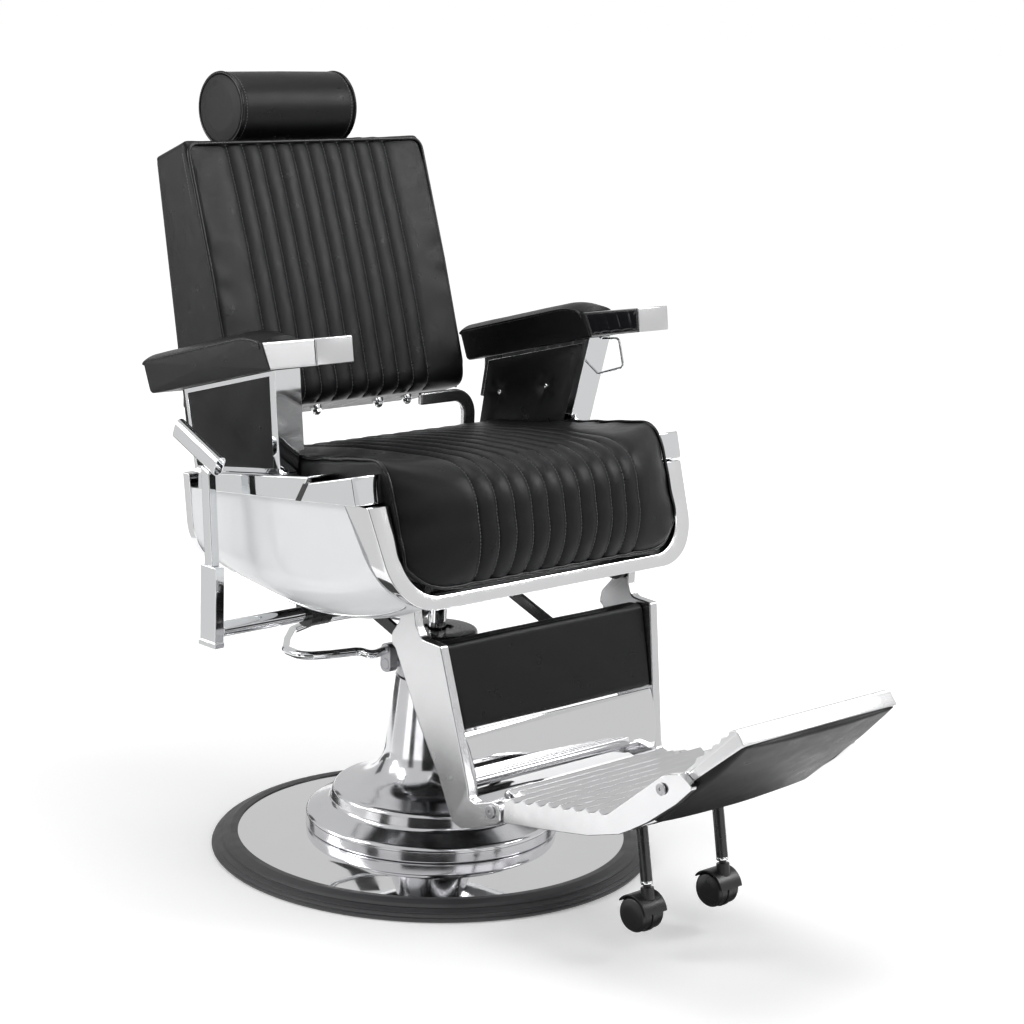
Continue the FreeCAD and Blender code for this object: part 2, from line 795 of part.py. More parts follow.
def make_seat_board():
    board = body("seat_board")
    half = S.seat_half_width - 6
    foot = S.seat_underside - S.board_thickness
    pad(board, outline(sketch(board, "XY", foot), [
        (-half, S.rail_front + 2, 8), (half, S.rail_front + 2, 8), (half, S.seat_rear - 28, 20),
        (-half, S.seat_rear - 28, 20)]), S.board_thickness)
    keep(board)


def make_seat_cushion():
    """Cushion with sewn channels that run over its top and down its front apron."""
    rear, under = number(S.seat_rear), number(S.seat_underside)
    high, low = number(S.seat_front_height), number(S.seat_rear_height)
    nose, apron = number(S.seat_nose), number(S.seat_apron_foot)
    half, corner = number(S.seat_half_width), number(S.tub_corner) - 5
    start = half + 8 - corner

    def outline_at(x, sink):
        beyond = max(0.0, abs(x) - start)
        foot = apron + corner - math.sqrt(max(corner ** 2 - beyond ** 2, 0.0))
        middle = (low + high) / 2 + 5 - sink
        return [
            (rear, under), (rear, low - 8 - sink), ((rear - 3, low - 3 - sink), (rear - 10, low - sink)),
            (((rear + nose + 70) / 2, middle + 3), (nose + 76, high - sink)),
            ((nose + 24 + 0.7 * sink, high - 22 - 0.7 * sink), (nose + 5 + sink, high - 72)),
            ((nose + sink, (high + foot) / 2 - 32), (nose + 16 + sink, foot + 5)),
            ((nose + 19 + sink, foot + 1.4), (nose + 24 + sink, foot)),
            (nose + 50, foot), (nose + 68, under)]

    cushion = sewn_cushion("seat_cushion", half, number(S.seat_channel), 11, number(S.sewn_depth),
                           outline_at)
    keep(cushion)


# Side rails

def make_rails():
    """Rail on each tub side, and the block that closes its front past a slanted joint."""
    rail = body("side_rail_right")
    high = S.rail_height
    joint = S.rail_joint

    def strip(owner, corners):
        width = S.rail_outside - S.rail_inside
        pad(owner, outline(sketch(owner, "YZ", -S.rail_outside), corners), width)

    strip(rail, [(joint, rail_foot(joint)), (S.rail_rear, rail_foot(S.rail_rear), 3),
                 (S.rail_rear, rail_foot(S.rail_rear) + high - 1, 6),
                 (joint - S.joint_slant, rail_foot(joint) + high + 10)])
    round_edges(rail, 2, lambda edge: abs(direction(edge).y) > 0.9
                and edge.CenterOfMass.z > number(rail_foot(joint)) - 3)
    keep(rail, mirrored("side_rail_left", rail))
    block = body("rail_front_block")
    front = S.rail_front
    strip(block, [(front, rail_foot(front)), (joint - 1.5, rail_foot(joint - 1.5)),
                  (joint - S.joint_slant - 1.5, rail_foot(joint) + high + 10),
                  (front + 14, rail_foot(front) + high + 12.6)])
    round_edges(block, 2, lambda edge: abs(direction(edge).z) > 0.6 and edge.CenterOfMass.y < -160)
    keep(pair("rail_front_blocks", block))


# Arm rests

def rail_top(y):
    """Height of the top of the side rails at a place along Y."""
    slope = (rail_foot(S.rail_joint) + 10 - rail_foot(S.rail_rear) + 1) / (S.rail_rear - S.rail_joint
                                                                          + S.joint_slant)
    return rail_foot(S.rail_rear) + S.rail_height - 1 + (S.rail_rear - y) * slope


def pad_foot(y):
    """Height of the underside of the arm pads at a place along Y."""
    slope = (S.pad_front_foot - S.pad_rear_foot) / (S.pad_rear - S.pad_front)
    return S.pad_rear_foot + (S.pad_rear - y) * slope


def arm_face(z):
    """Half distance between the outer faces of the arm frames at a height."""
    return S.arm_outside + (z - S.rail_front_foot - 18) * tangent(S.arm_splay)


def splay(owner, inset):
    """Keeps the leaning slab of an arm frame, which steps over the cushion at its foot."""
    low, high = S.rail_rear_foot - 10, S.pad_front_foot + 40
    step = S.seat_rear_height + 30
    thick = S.arm_thickness - inset
    trim_to(owner, "XZ", [
        (-arm_face(low) + inset, low), (-S.rail_inside - 1, low), (-S.rail_inside - 1, step),
        (-arm_face(step) + thick, step), (-arm_face(high) + thick, high),
        (-arm_face(high) + inset, high)])


def arm_corners(inset, front_inset):
    """Outline of an arm frame or, set in by a border, of its window."""
    front = S.arm_front + front_inset
    rear = S.arm_rear - inset
    lean = S.post_lean
    return [(front, rail_top(front) + inset + S.gap),
            (front - lean, pad_foot(front - lean) - inset - S.gap),
            (rear, pad_foot(rear) - inset - S.gap), (rear, rail_top(rear) + inset + S.gap)]


def make_arms():
    """Hollow frame with its front post, and the covered panel that fills it."""
    frame = body("arm_frame_right")
    reach = S.arm_outside + 60
    slab = outline(sketch(frame, "YZ", -reach), arm_corners(as_size(0), as_size(0)))
    pad(frame, slab, 3 * S.arm_thickness)
    window = outline(sketch(frame, "YZ", -reach), arm_corners(S.arm_border, S.post_border))
    pocket(frame, window, 8 * S.arm_thickness, both=True)
    splay(frame, as_size(0))
    keep(frame, mirrored("arm_frame_left", frame))
    panel = body("arm_panel_right")
    inset, front_inset = S.arm_border + S.gap, S.post_border + S.gap
    drawing = outline(sketch(panel, "YZ", -reach), arm_corners(inset, front_inset))
    pad(panel, drawing, 3 * S.arm_thickness)
    splay(panel, as_size(1.5))
    keep(panel, mirrored("arm_panel_left", panel))


def make_arm_pads():
    """Padded rest with a crowned top, its metal front cap and the bracket at its rear."""
    rest = body("arm_pad_right")
    front, foot = S.pad_front, S.pad_front_foot
    thick = S.pad_thickness
    slant = 19
    crest = pad_foot(S.pad_front + 50) + thick + 7
    pad(rest, outline(sketch(rest, "YZ", -S.pad_outside), [
        (front - 6, foot + 1.6), (S.pad_rear, S.pad_rear_foot, 8),
        (S.pad_rear + slant, S.pad_rear_foot + thick - 2, 9), (S.pad_front + 50, crest, 120),
        (front - 6 + slant, foot + 36)]), S.pad_width)
    round_edges(rest, 9, lambda edge: edge.CenterOfMass.z > number(pad_foot(edge.CenterOfMass.y)) + 25
                and abs(direction(edge).x) < 0.5 and edge.CenterOfMass.y > number(S.pad_front) + 8
                and edge.Length > 20)
    keep(rest, mirrored("arm_pad_left", rest))
    cap = body("arm_cap_right")
    rise = 0.19
    long = S.cap_length
    pad(cap, outline(sketch(cap, "YZ", -S.pad_outside), [
        (front - 6.5, foot + 1.7), (front - 6.5 + slant, foot + 36.1),
        (front - 2 - long + 5, foot + 40 + rise * (long - 18), 3),
        (front - 2 - long, foot + 3 + rise * (long - 8), 2)]), S.pad_width)
    keep(cap, mirrored("arm_cap_left", cap))
    bracket = body("arm_pad_bracket")
    rear = S.arm_rear
    pad(bracket, outline(sketch(bracket, "YZ", -arm_face(S.pad_rear_foot) + 10), [
        (rear, S.pad_rear_foot - 19), (rear + 18, S.pad_rear_foot - 19, 3),
        (rear + 18, pad_foot(rear + 18) - S.gap), (rear, pad_foot(rear) - S.gap)]), 18)
    keep(pair("arm_pad_brackets", bracket))


def make_towel_hoop():
    """Bent wire hoop in front of the left arm post."""
    x = arm_face(S.pad_front_foot) - 17
    top = S.pad_front_foot - 3
    face = S.arm_front - S.post_lean
    reach = S.hoop_reach
    corners = [(face - 0.7, top - 1), (face - reach + 12, top + 4),
               (face - reach, top - S.hoop_drop + 17), (face + 5.1, top - S.hoop_drop)]
    keep(tube("towel_hoop", [(x, y, z) for y, z in corners], S.hoop_radius, 7))


# Recline lever

def make_recline_lever():
    """Cross shaft under the tub, socket, upright arm and the flat oval grip."""
    outside, thick = S.lever_outside, S.lever_thickness
    y, z = S.shaft_y, S.shaft_z
    bearing_in, bearing_out = S.link_x + 23, S.link_x + 61
    shaft = body("recline_lever_shaft")
    boss(shaft, "YZ", -bearing_in - 2, y, z, S.shaft_radius, outside - thick - bearing_in - 2,
         backward=True)
    bearing = body("recline_bearing")
    pad(bearing, outline(sketch(bearing, "YZ", -bearing_out), [
        (y - 19, z - 19, 17), (y + 19, z - 19, 17), (y + 19, z + 24, 6), (y - 19, z + 24, 6)]),
        bearing_out - bearing_in)
    hanger = outline(sketch(bearing, "YZ", -bearing_out + 14), [
        (y - 14, z + 20), (y + 14, z + 20), (y + 22, S.frame_top - S.frame_plate),
        (y - 22, S.frame_top - S.frame_plate)])
    pad(bearing, hanger, 10)
    hole(bearing, "YZ", -bearing_out, y, z, S.shaft_radius + S.fit, 200, both=True)
    socket = body("recline_lever_socket")
    socket_top = z + 91
    pad(socket, outline(sketch(socket, "YZ", -outside - 1), [
        (y - 10, z - 24, 2), (y + 25, z - 24, 2), (y + 25, socket_top, 2), (y - 10, socket_top, 2)]),
        thick + 1)
    lip = outline(sketch(socket, "YZ", -outside - 2.5), [
        (y - 12, z - 24, 2), (y + 27, z - 24, 2), (y + 27, z - 16, 2), (y - 12, z - 16, 2)])
    pad(socket, lip, thick + 2.5)
    slope_y = S.grip_rear_y - S.grip_front_y
    slope_z = S.grip_rear_z - S.grip_front_z
    angle = Size(math.degrees(math.atan2(slope_z.number, slope_y.number)),
                 "(atan2(%s; %s) / 1 deg)" % (slope_z.formula, slope_y.formula))
    half_height, half_width = 15, 8

    def grip_foot(at):
        return S.grip_front_z + (at - S.grip_front_y) * slope_z / slope_y - half_height / cosine(angle)

    arm = body("recline_lever_arm")
    front, rear = S.grip_front_y + 15, S.grip_front_y + 33
    pad(arm, outline(sketch(arm, "YZ", -outside + 0.5), [
        (y, socket_top), (y + 18, socket_top), (rear, grip_foot(rear) - S.gap),
        (front, grip_foot(front) - S.gap)]), thick - 1)
    grip = body("recline_lever_grip")
    outer = sketch(grip, "XZ", 0)
    outline(outer, [(-half_width, -half_height, 7.5), (half_width, -half_height, 7.5),
                    (half_width, half_height, 7.5), (-half_width, half_height, 7.5)])
    pad(grip, outer, 103, backward=True)
    hollow = sketch(grip, "XZ", 0)
    outline(hollow, [(2 - half_width, 2 - half_height, 5.5), (half_width - 2, 2 - half_height, 5.5),
                     (half_width - 2, half_height - 2, 5.5), (2 - half_width, half_height - 2, 5.5)])
    pocket(grip, hollow, 18)
    grip.Placement = Placement(Vector(-number(outside) + 8, number(S.grip_front_y),
                                      number(S.grip_front_z)),
                               Rotation(Vector(1, 0, 0), angle.number))
    grip.setExpression("Placement.Base.x", (8 - outside).formula)
    grip.setExpression("Placement.Base.y", S.grip_front_y.formula)
    grip.setExpression("Placement.Base.z", S.grip_front_z.formula)
    grip.setExpression("Placement.Rotation.Angle", angle.formula + " * 1 deg")
    keep(shaft, bearing, socket, arm, grip)


# Back

def leans(owner):
    """Places a piece of the back, which is drawn upright about the back pivot."""
    stands(owner, S.back_pivot_y, S.back_pivot_z, S.back_lean)


def make_back():
    """Cushion with sewn channels and the board behind and below it."""
    front, foot, top = number(S.back_front), number(S.back_foot), number(S.back_top)
    rear_top, rear_foot = number(S.back_rear_top), number(S.back_rear_foot)

    def outline_at(x, sink):
        return [
            (rear_foot, foot), (rear_top, top - 4 - sink * 0.5),
            (front + 12 + sink, top - sink), ((front + 4 + sink, top - 4 - sink),
                                              (front + sink, top - 14 - sink)),
            ((front - 3 + sink, (foot + top) / 2), (front + sink, foot + 36)),
            ((front + 6 + sink, foot + 11), (front + 24 + sink, foot))]

    cushion = sewn_cushion("back_cushion", number(S.back_half_width), number(S.back_channel), 11,
                           number(S.sewn_depth), outline_at)
    slot_wide = number(S.post_width) / 2 + number(S.sleeve_wall) + number(S.gap)
    slot_thick = number(S.post_thickness) / 2 + number(S.sleeve_wall) + number(S.gap)
    slot_foot = number(S.post_foot) - 10
    slot = Part.makeBox(2 * slot_wide, 2 * slot_thick, 400,
                        Vector(-slot_wide, number(S.roll_y) - slot_thick, slot_foot))
    cushion.Shape = cushion.Shape.cut(slot)
    leans(cushion)
    board = body("back_board")
    thick = S.back_panel
    rear = S.back_rear_foot
    half = S.back_half_width - 6
    pad(board, outline(sketch(board, "YZ"), [
        (S.back_front + 8, S.back_foot - thick), (rear + thick, S.back_foot - thick, 4),
        (S.back_rear_top + thick, S.back_top - 6), (S.back_rear_top + S.gap, S.back_top - 6),
        (rear + S.gap, S.back_foot - S.gap), (S.back_front + 8, S.back_foot - S.gap)]),
        2 * half, both=True)
    leans(board)
    keep(cushion, board)


def make_back_arms():
    """Torque tube with its cranks and link pin, and the two hooked arms that carry the back."""
    y, z = S.back_pivot_y, S.back_pivot_z
    inner = S.hook_outside - S.hook_width
    crank = body("back_crank_frame")
    boss(crank, "YZ", 0, y, z, S.torque_radius, 2 * inner, both=True)
    pin_y, pin_z = y + S.crank_y, z + S.crank_z
    for side in (-1, 1):
        plate = sketch(crank, "YZ", side * (S.link_x + 12))
        outline(plate, [(pin_y - 11, pin_z - 11, 10), (pin_y + 11, pin_z - 11, 10),
                        (y + 12, z + 11, 10), (y - 12, z + 11, 10)])
        pad(crank, plate, 6, both=True)
    boss(crank, "YZ", 0, pin_y, pin_z, S.leg_pin_radius, 2 * (S.link_x + 15), both=True)
    keep(crank)
    hook = body("back_arm_right")
    top, bend = S.hook_top, 42
    thick = S.hook_thickness
    bar = sketch(hook, "XZ", -(y - 2))
    outline(bar, [(-S.hook_outside, z), (-S.hook_outside, top, bend), (-S.hook_inside, top),
                  (-S.hook_inside, top - 19), (-inner, top - 19, bend - 22), (-inner, z)])
    pad(hook, bar, thick, backward=True)
    boss(hook, "YZ", -S.hook_outside, y, z, 13, S.hook_width)
    keep(hook, mirrored("back_arm_left", hook))


def make_acorn_nuts():
    """Domed nuts under the foot of the back, two on each side."""
    nuts = []
    for name, x in (("inner", 60), ("outer", 117)):
        nut = body("acorn_nut_" + name)
        revolve(nut, outline(sketch(nut, "XZ"), [(0, -15), (6.2, -15, 6), (6.2, -6.5), (8.5, -6.5, 1),
                                                 (8.5, -5), (8.5, 0), (0, 0)]))
        hexagon = sketch(nut, "XY", -6)
        outline(hexagon, [(7.5 * math.cos(math.radians(60 * i)), 7.5 * math.sin(math.radians(60 * i)))
                          for i in range(6)])
        pad(nut, hexagon, 4, backward=True)
        y, z = leant(S.back_pivot_y, S.back_pivot_z, 0, S.back_foot - S.back_panel, S.back_lean)
        stands(nut, y, z, S.back_lean, x=-x)
        nuts += [nut, mirrored("acorn_nut_%s_twin" % name, nut)]
    group = document.addObject("Part::Compound", "back_acorn_nuts")
    group.Label = "back_acorn_nuts"
    group.Links = nuts
    keep(group)


def make_headrest():
    """Roll on a flat post that slides in a sleeve inside the back."""
    wide, thick = S.post_width, S.post_thickness
    y = S.roll_y
    sleeve = body("headrest_sleeve")
    foot = S.post_foot - 10
    wall = S.sleeve_wall
    drawing = sketch(sleeve, "XY", foot)
    rectangle(drawing, -wide / 2 - wall, y - thick / 2 - wall, wide / 2 + wall, y + thick / 2 + wall)
    rectangle(drawing, -wide / 2 - 0.3, y - thick / 2 - 0.3, wide / 2 + 0.3, y + thick / 2 + 0.3)
    pad(sleeve, drawing, S.back_top - 6 - foot)
    leans(sleeve)
    post = body("headrest_post")
    drawing = sketch(post, "XY", S.post_foot)
    rectangle(drawing, -wide / 2, y - thick / 2, wide / 2, y + thick / 2)
    pad(post, drawing, S.roll_height - S.post_foot - 20)
    leans(post)
    roll = body("headrest_roll")
    long, radius = S.roll_half_length, S.roll_radius
    revolve(roll, outline(sketch(roll, "XY"), [
        (-long, 0), (-long, radius - 3), (-long + 3, radius, 2), (-long + 8, radius - 1, 3),
        (long - 8, radius - 1, 3), (long - 3, radius, 2), (long, radius - 3), (long, 0)]), "H_Axis")
    drawing = sketch(roll, "XY", -radius - 20)
    rectangle(drawing, -wide / 2 - S.gap, -thick / 2 - S.gap, wide / 2 + S.gap, thick / 2 + S.gap)
    pocket(roll, drawing, radius, backward=True)
    centre_y, centre_z = leant(S.back_pivot_y, S.back_pivot_z, y, S.roll_height, S.back_lean)
    stands(roll, centre_y, centre_z, S.back_lean)
    keep(sleeve, post, roll)


# Leg rest

def leg_inside(z):
    """Half distance between the inner faces of the leg arms at a height above their feet."""
    return S.leg_arm_inside + (z - S.calf_foot) * tangent(S.leg_splay)


def make_leg_arms():
    """Cast side arms: neck with pivot eye, shoulder, broad shank and a foot with the screw eye."""
    arm = body("leg_arm_right")
    y, z = S.leg_pivot_y, S.leg_pivot_z
    fy, fz = S.leg_foot_y, S.leg_foot_z
    top = S.calf_top
    side = [
        (y - 16, z + 15, 13), (y - 18, z - 20, 8), (y - 28, top + 6, 12), (y - 66, top + 4, 4),
        (fy + 43.5, fz + 7, 6), (fy + 31, fz + 4, 6), (fy - 2, fz + 15, 10), (fy - 18, fz + 12, 12),
        (fy - 18, fz - 14, 12), (fy + 58, fz - 40, 4), (fy + 76, fz - 37, 10),
        (y - 12, S.calf_foot - 5, 60), (y + 28, top - 19, 4), (y + 35, top - 15, 5),
        (y + 34, top + 2, 10), (y + 15, z - 20, 12), (y + 16, z + 15, 13)]
    pad(arm, outline(sketch(arm, "YZ", -S.leg_arm_inside + 25), side), 90, backward=True)
    thick = S.leg_arm_thickness
    knee, floor, above = 200, 100, 480
    trim_to(arm, "XZ", [
        (-leg_inside(above), above), (-leg_inside(knee), knee), (-leg_inside(knee), floor),
        (-leg_inside(knee) - thick, floor), (-leg_inside(knee) - thick, knee),
        (-leg_inside(above) - thick, above)])
    hole(arm, "YZ", 0, y, z, S.leg_pin_radius + S.fit, 600, both=True)
    hole(arm, "YZ", 0, fy, fz, S.screw_radius + 1 + S.fit, 600, both=True)
    keep(arm, mirrored("leg_arm_left", arm))


def make_leg_cross_tube():
    tube_body = body("leg_cross_tube")
    z = S.leg_pivot_z + S.crank_z
    boss(tube_body, "YZ", 0, S.leg_pivot_y + S.crank_y, z, S.torque_radius,
         2 * (leg_inside(z - S.torque_radius) - S.gap), both=True)
    keep(tube_body)


def make_calf():
    """Crowned pad between the leg arms and the polished plate below it."""
    cushion = body("calf_pad")
    top, foot = S.calf_top, S.calf_foot
    front_top, front_foot = S.leg_pivot_y - 54, S.leg_pivot_y - 90
    thick = S.calf_thickness
    pad(cushion, outline(sketch(cushion, "YZ"), [
        (front_top, top, 8), (front_foot, foot, 8), (front_foot + thick, foot, 2),
        (front_top + thick, top, 2)]), 500, both=True)
    trim_to(cushion, "XZ", [
        (-leg_inside(top) + S.gap, top + 1), (-leg_inside(foot) + S.gap, foot - 1),
        (leg_inside(foot) - S.gap, foot - 1), (leg_inside(top) - S.gap, top + 1)])
    plate = body("calf_plate")
    knee = 198
    pad(plate, outline(sketch(plate, "YZ"), [
        (front_foot + 3, foot - 2), (front_foot - 16, knee), (front_foot - 13, knee),
        (front_foot + 6, foot - 2)]), 500, both=True)
    trim_to(plate, "XZ", [
        (-leg_inside(foot) + S.gap, foot), (-leg_inside(200) + S.gap, 200),
        (-leg_inside(200) + S.gap, knee - 2), (leg_inside(200) - S.gap, knee - 2),
        (leg_inside(200) - S.gap, 200), (leg_inside(foot) - S.gap, foot)])
    keep(cushion, plate)


def make_links():
    """Flat bar from the back cranks to the leg cross tube, one on each side."""
    bar = body("link_bar")
    fy, fz = S.leg_pivot_y + S.crank_y, S.leg_pivot_z + S.crank_z
    ry, rz = S.back_pivot_y + S.crank_y, S.back_pivot_z + S.crank_z
    half = S.link_width / 2
    offset = -S.link_x
    thick = S.link_thickness
    pad(bar, outline(sketch(bar, "YZ", offset), [
        (fy, fz - half), (ry, rz - half), (ry, rz + half), (fy, fz + half)]), thick, both=True)
    boss(bar, "YZ", offset, fy, fz, S.torque_radius + 7, thick, both=True)
    boss(bar, "YZ", offset, ry, rz, S.leg_pin_radius + 7, thick, both=True)
    hole(bar, "YZ", offset, fy, fz, S.torque_radius + S.fit, 4 * thick, both=True)
    hole(bar, "YZ", offset, ry, rz, S.leg_pin_radius + 0.5, 4 * thick, both=True)
    keep(pair("link_bars", bar))


# Foot rest

def deck_side(y):
    """Half width of the foot rest at a place along Y."""
    return S.deck_half_width - (S.deck_rear - y) * tangent(S.deck_taper)


def make_deck():
    """Cast tray: nine ribs across it, hollow pockets below, two lugs and two raised horns."""
    deck = body("footrest_deck")
    rear, front = S.deck_rear, S.deck_front
    base = S.leg_foot_z
    rib_slope = 0.147
    corners = [(rear, base - 10, 3), (rear - 72, base - 1), (rear - 145, base + 10),
               (front + 19, base + 25), (front, base + 36, 3), (front, base + 54, 3)]
    for i in reversed(range(9)):
        y = rear - 11 - i * S.rib_pitch
        top = base + 27 + i * S.rib_pitch * rib_slope
        corners += [(y - 8, top - S.rib_height), (y, top, 2.2), (y + 6, top - S.rib_height)]
    corners += [(rear, base + 22, 2)]
    pad(deck, outline(sketch(deck, "YZ"), corners), 500, both=True)
    fy, fz = S.flip_y, S.flip_z
    horn_in = S.flip_half_width + 1
    horn = [(front + 35, base + 34), (front + 34, base + 52), (fy, fz + 18, 20), (fy - 27, fz + 26, 8),
            (fy - 40, fz + 18, 4), (fy - 47, fz + 11, 4), (fy - 22, fz - 15, 30),
            (fy + 23, fz - 51, 60), (fy + 65, fz - 77)]
    for side in (-1, 1):
        drawing = sketch(deck, "YZ", side * horn_in)
        outline(drawing, horn)
        pad(deck, drawing, 60, backward=side < 0)
    far = fy - 60
    trim_to(deck, "XY", [
        (-deck_side(rear + 1), rear + 1), (deck_side(rear + 1), rear + 1), (deck_side(far), far),
        (-deck_side(far), far)])
    floor = outline(sketch(deck, "YZ"), [
        (rear - 12, base - 30), (front + 30, base - 30), (front + 30, base + 20, 6),
        (rear - 130, base + 20, 20), (rear - 12, base + 8, 4)])
    inner, outer = S.caster_x - 16, S.caster_x + 16
    pocket(deck, floor, 2 * inner, both=True)
    for side in (-1, 1):
        drawing = sketch(deck, "YZ", side * outer)
        outline(drawing, [
            (rear - 12, base - 30), (front + 30, base - 30), (front + 30, base + 20, 6),
            (rear - 130, base + 20, 20), (rear - 12, base + 8, 4)])
        pocket(deck, drawing, S.flip_half_width - outer - 6, backward=side > 0)
    ly, lz = S.leg_foot_y, S.leg_foot_z
    knee = 200
    lug_out = leg_inside(knee) - S.gap
    for side in (-1, 1):
        drawing = sketch(deck, "YZ", side * lug_out)
        outline(drawing, [(ly + 13, lz - 9, 8), (rear - 1, lz - 9.5), (rear - 1, lz + 16),
                          (ly + 13, lz + 12, 9)])
        pad(deck, drawing, 22, backward=side > 0)
    hole(deck, "YZ", 0, ly, lz, S.screw_radius + 1, 600, both=True)
    hole(deck, "YZ", 0, fy, fz, S.screw_radius, 600, both=True)
    keep(deck)


def make_pivot_screws():
    """Screw pins of the foot rest in the leg arms, and of the flip panel in the horns."""
    screw = body("footrest_pivot_screw")
    knee = 200
    lug_out = leg_inside(knee)
    out = lug_out + S.leg_arm_thickness
    drawing = sketch(screw, "XY", 0)
    r = S.screw_radius + 1
    outline(drawing, [(0, 0), (0, r + 3), (-2.5, r + 3, 1), (-2.5, 0)])
    revolve(screw, drawing, "H_Axis")
    boss(screw, "YZ", 0, 0, 0, r, out - lug_out + 24)
    hole(screw, "YZ", -2.5, 0, 0, 2.5, 1.5, backward=True)
    stands(screw, S.leg_foot_y, S.leg_foot_z, as_size(0), x=-out - S.gap)
    keep(pair("footrest_pivot_screws", screw))
    screw = body("flip_screw")
    drawing = sketch(screw, "XY", 0)
    r = S.screw_radius
    outline(drawing, [(0, 0), (0, r + 3), (-2.5, r + 3, 1), (-2.5, 0)])
    revolve(screw, drawing, "H_Axis")
    out = deck_side(S.flip_y + r + 4)
    boss(screw, "YZ", 0, 0, 0, r, out - S.flip_half_width + 18)
    hole(screw, "YZ", -2.5, 0, 0, 2.5, 1.5, backward=True)
    stands(screw, S.flip_y, S.flip_z, as_size(0), x=-out - 0.2)
    keep(pair("flip_screws", screw))


def flips(owner):
    """Places a piece of the flip panel, which is drawn flat about its hinge, reaching to -Y."""
    stands(owner, S.flip_y, S.flip_z, S.flip_slope)


def make_flip_panel():
    """Ribbed panel between the horns with a crowned pad under it."""
    panel = body("flip_panel")
    reach, tail, half = S.flip_reach, S.flip_tail, S.flip_half_width
    ribs = 5
    corners = [(tail, -1), (tail, 4, 2)]
    for i in range(ribs):
        y = -reach + 10 + 17.5 * (ribs - 1 - i)
        corners += [(y + 6, 4), (y, 8, 2), (y - 8, 4)]
    corners += [(-reach, 3, 1), (-reach, -1)]
    pad(panel, outline(sketch(panel, "YZ"), corners), 2 * half, both=True)
    for side in (-1, 1):
        boss(panel, "YZ", side * half, 0, 0, S.screw_radius + 4, 22, backward=side > 0)
        hole(panel, "YZ", side * half, 0, 0, S.screw_radius + S.fit, 24, backward=side < 0)
    flips(panel)
    cushion = body("flip_panel_pad")
    thick = S.flip_pad
    pad(cushion, outline(sketch(cushion, "YZ"), [
        (tail - 2, -1 - S.gap), (tail - 3, -thick + 4, 8), (-reach / 2, -thick - 3, 300),
        (-reach + 2, -thick + 2, 8), (-reach + 1, -1 - S.gap)]), 2 * (half - 1), both=True)
    for side in (-1, 1):
        knuckle = outline(sketch(cushion, "YZ", side * (half + 2)),
                          [(-12, 2), (12, 2), (12, -11, 6), (-12, -11, 6)])
        pocket(cushion, knuckle, 27, backward=side < 0)
    flips(cushion)
    keep(panel, cushion)


# Casters

def casts(owner):
    """Places a caster piece, which is drawn upright about the foot of its tube."""
    stands(owner, S.caster_y, S.caster_z, S.caster_lean, x=-S.caster_x)


def make_casters():
    """Tubes under the deck, swivelling hoods with their stems, and twin wheels."""
    post = body("caster_tube")
    length = (S.leg_foot_z + 10 - S.caster_z) / cosine(S.caster_lean) - 1
    boss(post, "XY", 0, 0, 0, S.caster_tube_radius, length)
    hole(post, "XY", 0, 0, 0, S.stem_radius + S.fit, 40, backward=True)
    casts(post)
    keep(pair("caster_tubes", post))
    hood = body("caster_hood_right")
    wy, wz = S.wheel_trail, -S.wheel_drop
    outer = S.wheel_radius + 3.2
    boss(hood, "YZ", 0, wy, wz, outer, 2 * S.wheel_half_width, both=True)
    boss(hood, "XY", -S.wheel_drop + 18, 0, 0, S.stem_radius + 4, S.wheel_drop - 22)
    side = sketch(hood, "YZ", 0)
    circle(side, wy, wz, S.wheel_radius + 0.8)
    pocket(hood, side, 4 * S.wheel_half_width, both=True)
    trim_to(hood, "YZ", [(wy - 40, wz - 2), (wy + 8, wz + 6), (wy + 40, wz + 40), (wy + 40, wz + 90),
                         (wy - 40, wz + 90)])
    boss(hood, "YZ", 0, wy, wz, S.wheel_radius + 1.4, 8, both=True)
    boss(hood, "XY", -5, 0, 0, S.stem_radius, 40)
    boss(hood, "YZ", 0, wy, wz, 4, 2 * S.wheel_half_width - 6, both=True)
    casts(hood)
    keep(hood, mirrored("caster_hood_left", hood))
    wheel = body("caster_wheel")
    inner = 4.6
    across = S.wheel_half_width - inner
    revolve(wheel, outline(sketch(wheel, "XY", 0), [
        (0, 4 + S.fit), (0, S.wheel_radius - 1), (1, S.wheel_radius), (across - 4, S.wheel_radius),
        (across, S.wheel_radius - 5), (across - 1.5, S.wheel_radius - 8), (across - 1.5, 4 + S.fit)]),
        "H_Axis")
    y, z = leant(S.caster_y, S.caster_z, wy, wz, S.caster_lean)
    stands(wheel, y, z, S.caster_lean, x=inner - S.caster_x)
    twin = mirrored("caster_wheel_twin", wheel)
    bind(twin, "Base.x", -S.caster_x)
    wheels = document.addObject("Part::Compound", "caster_wheels_right")
    wheels.Label = "caster_wheels_right"
    wheels.Links = [wheel, twin]
    keep(wheels, mirrored("caster_wheels_left", wheels))


make_base_plate()
make_rubber_ring()
make_skirt()
make_cylinder()
make_pump_head()
make_pump_lever()
make_front_rim()
make_tub_sides()
make_rear_rim()
make_seat_frame()
make_ram()
make_seat_board()
make_seat_cushion()
make_rails()
make_arms()
make_arm_pads()
make_towel_hoop()
make_recline_lever()
make_back()
make_back_arms()
make_acorn_nuts()
make_headrest()
make_leg_arms()
make_leg_cross_tube()
make_calf()
make_links()
make_deck()
make_pivot_screws()
make_flip_panel()
make_casters()
document.recompute()

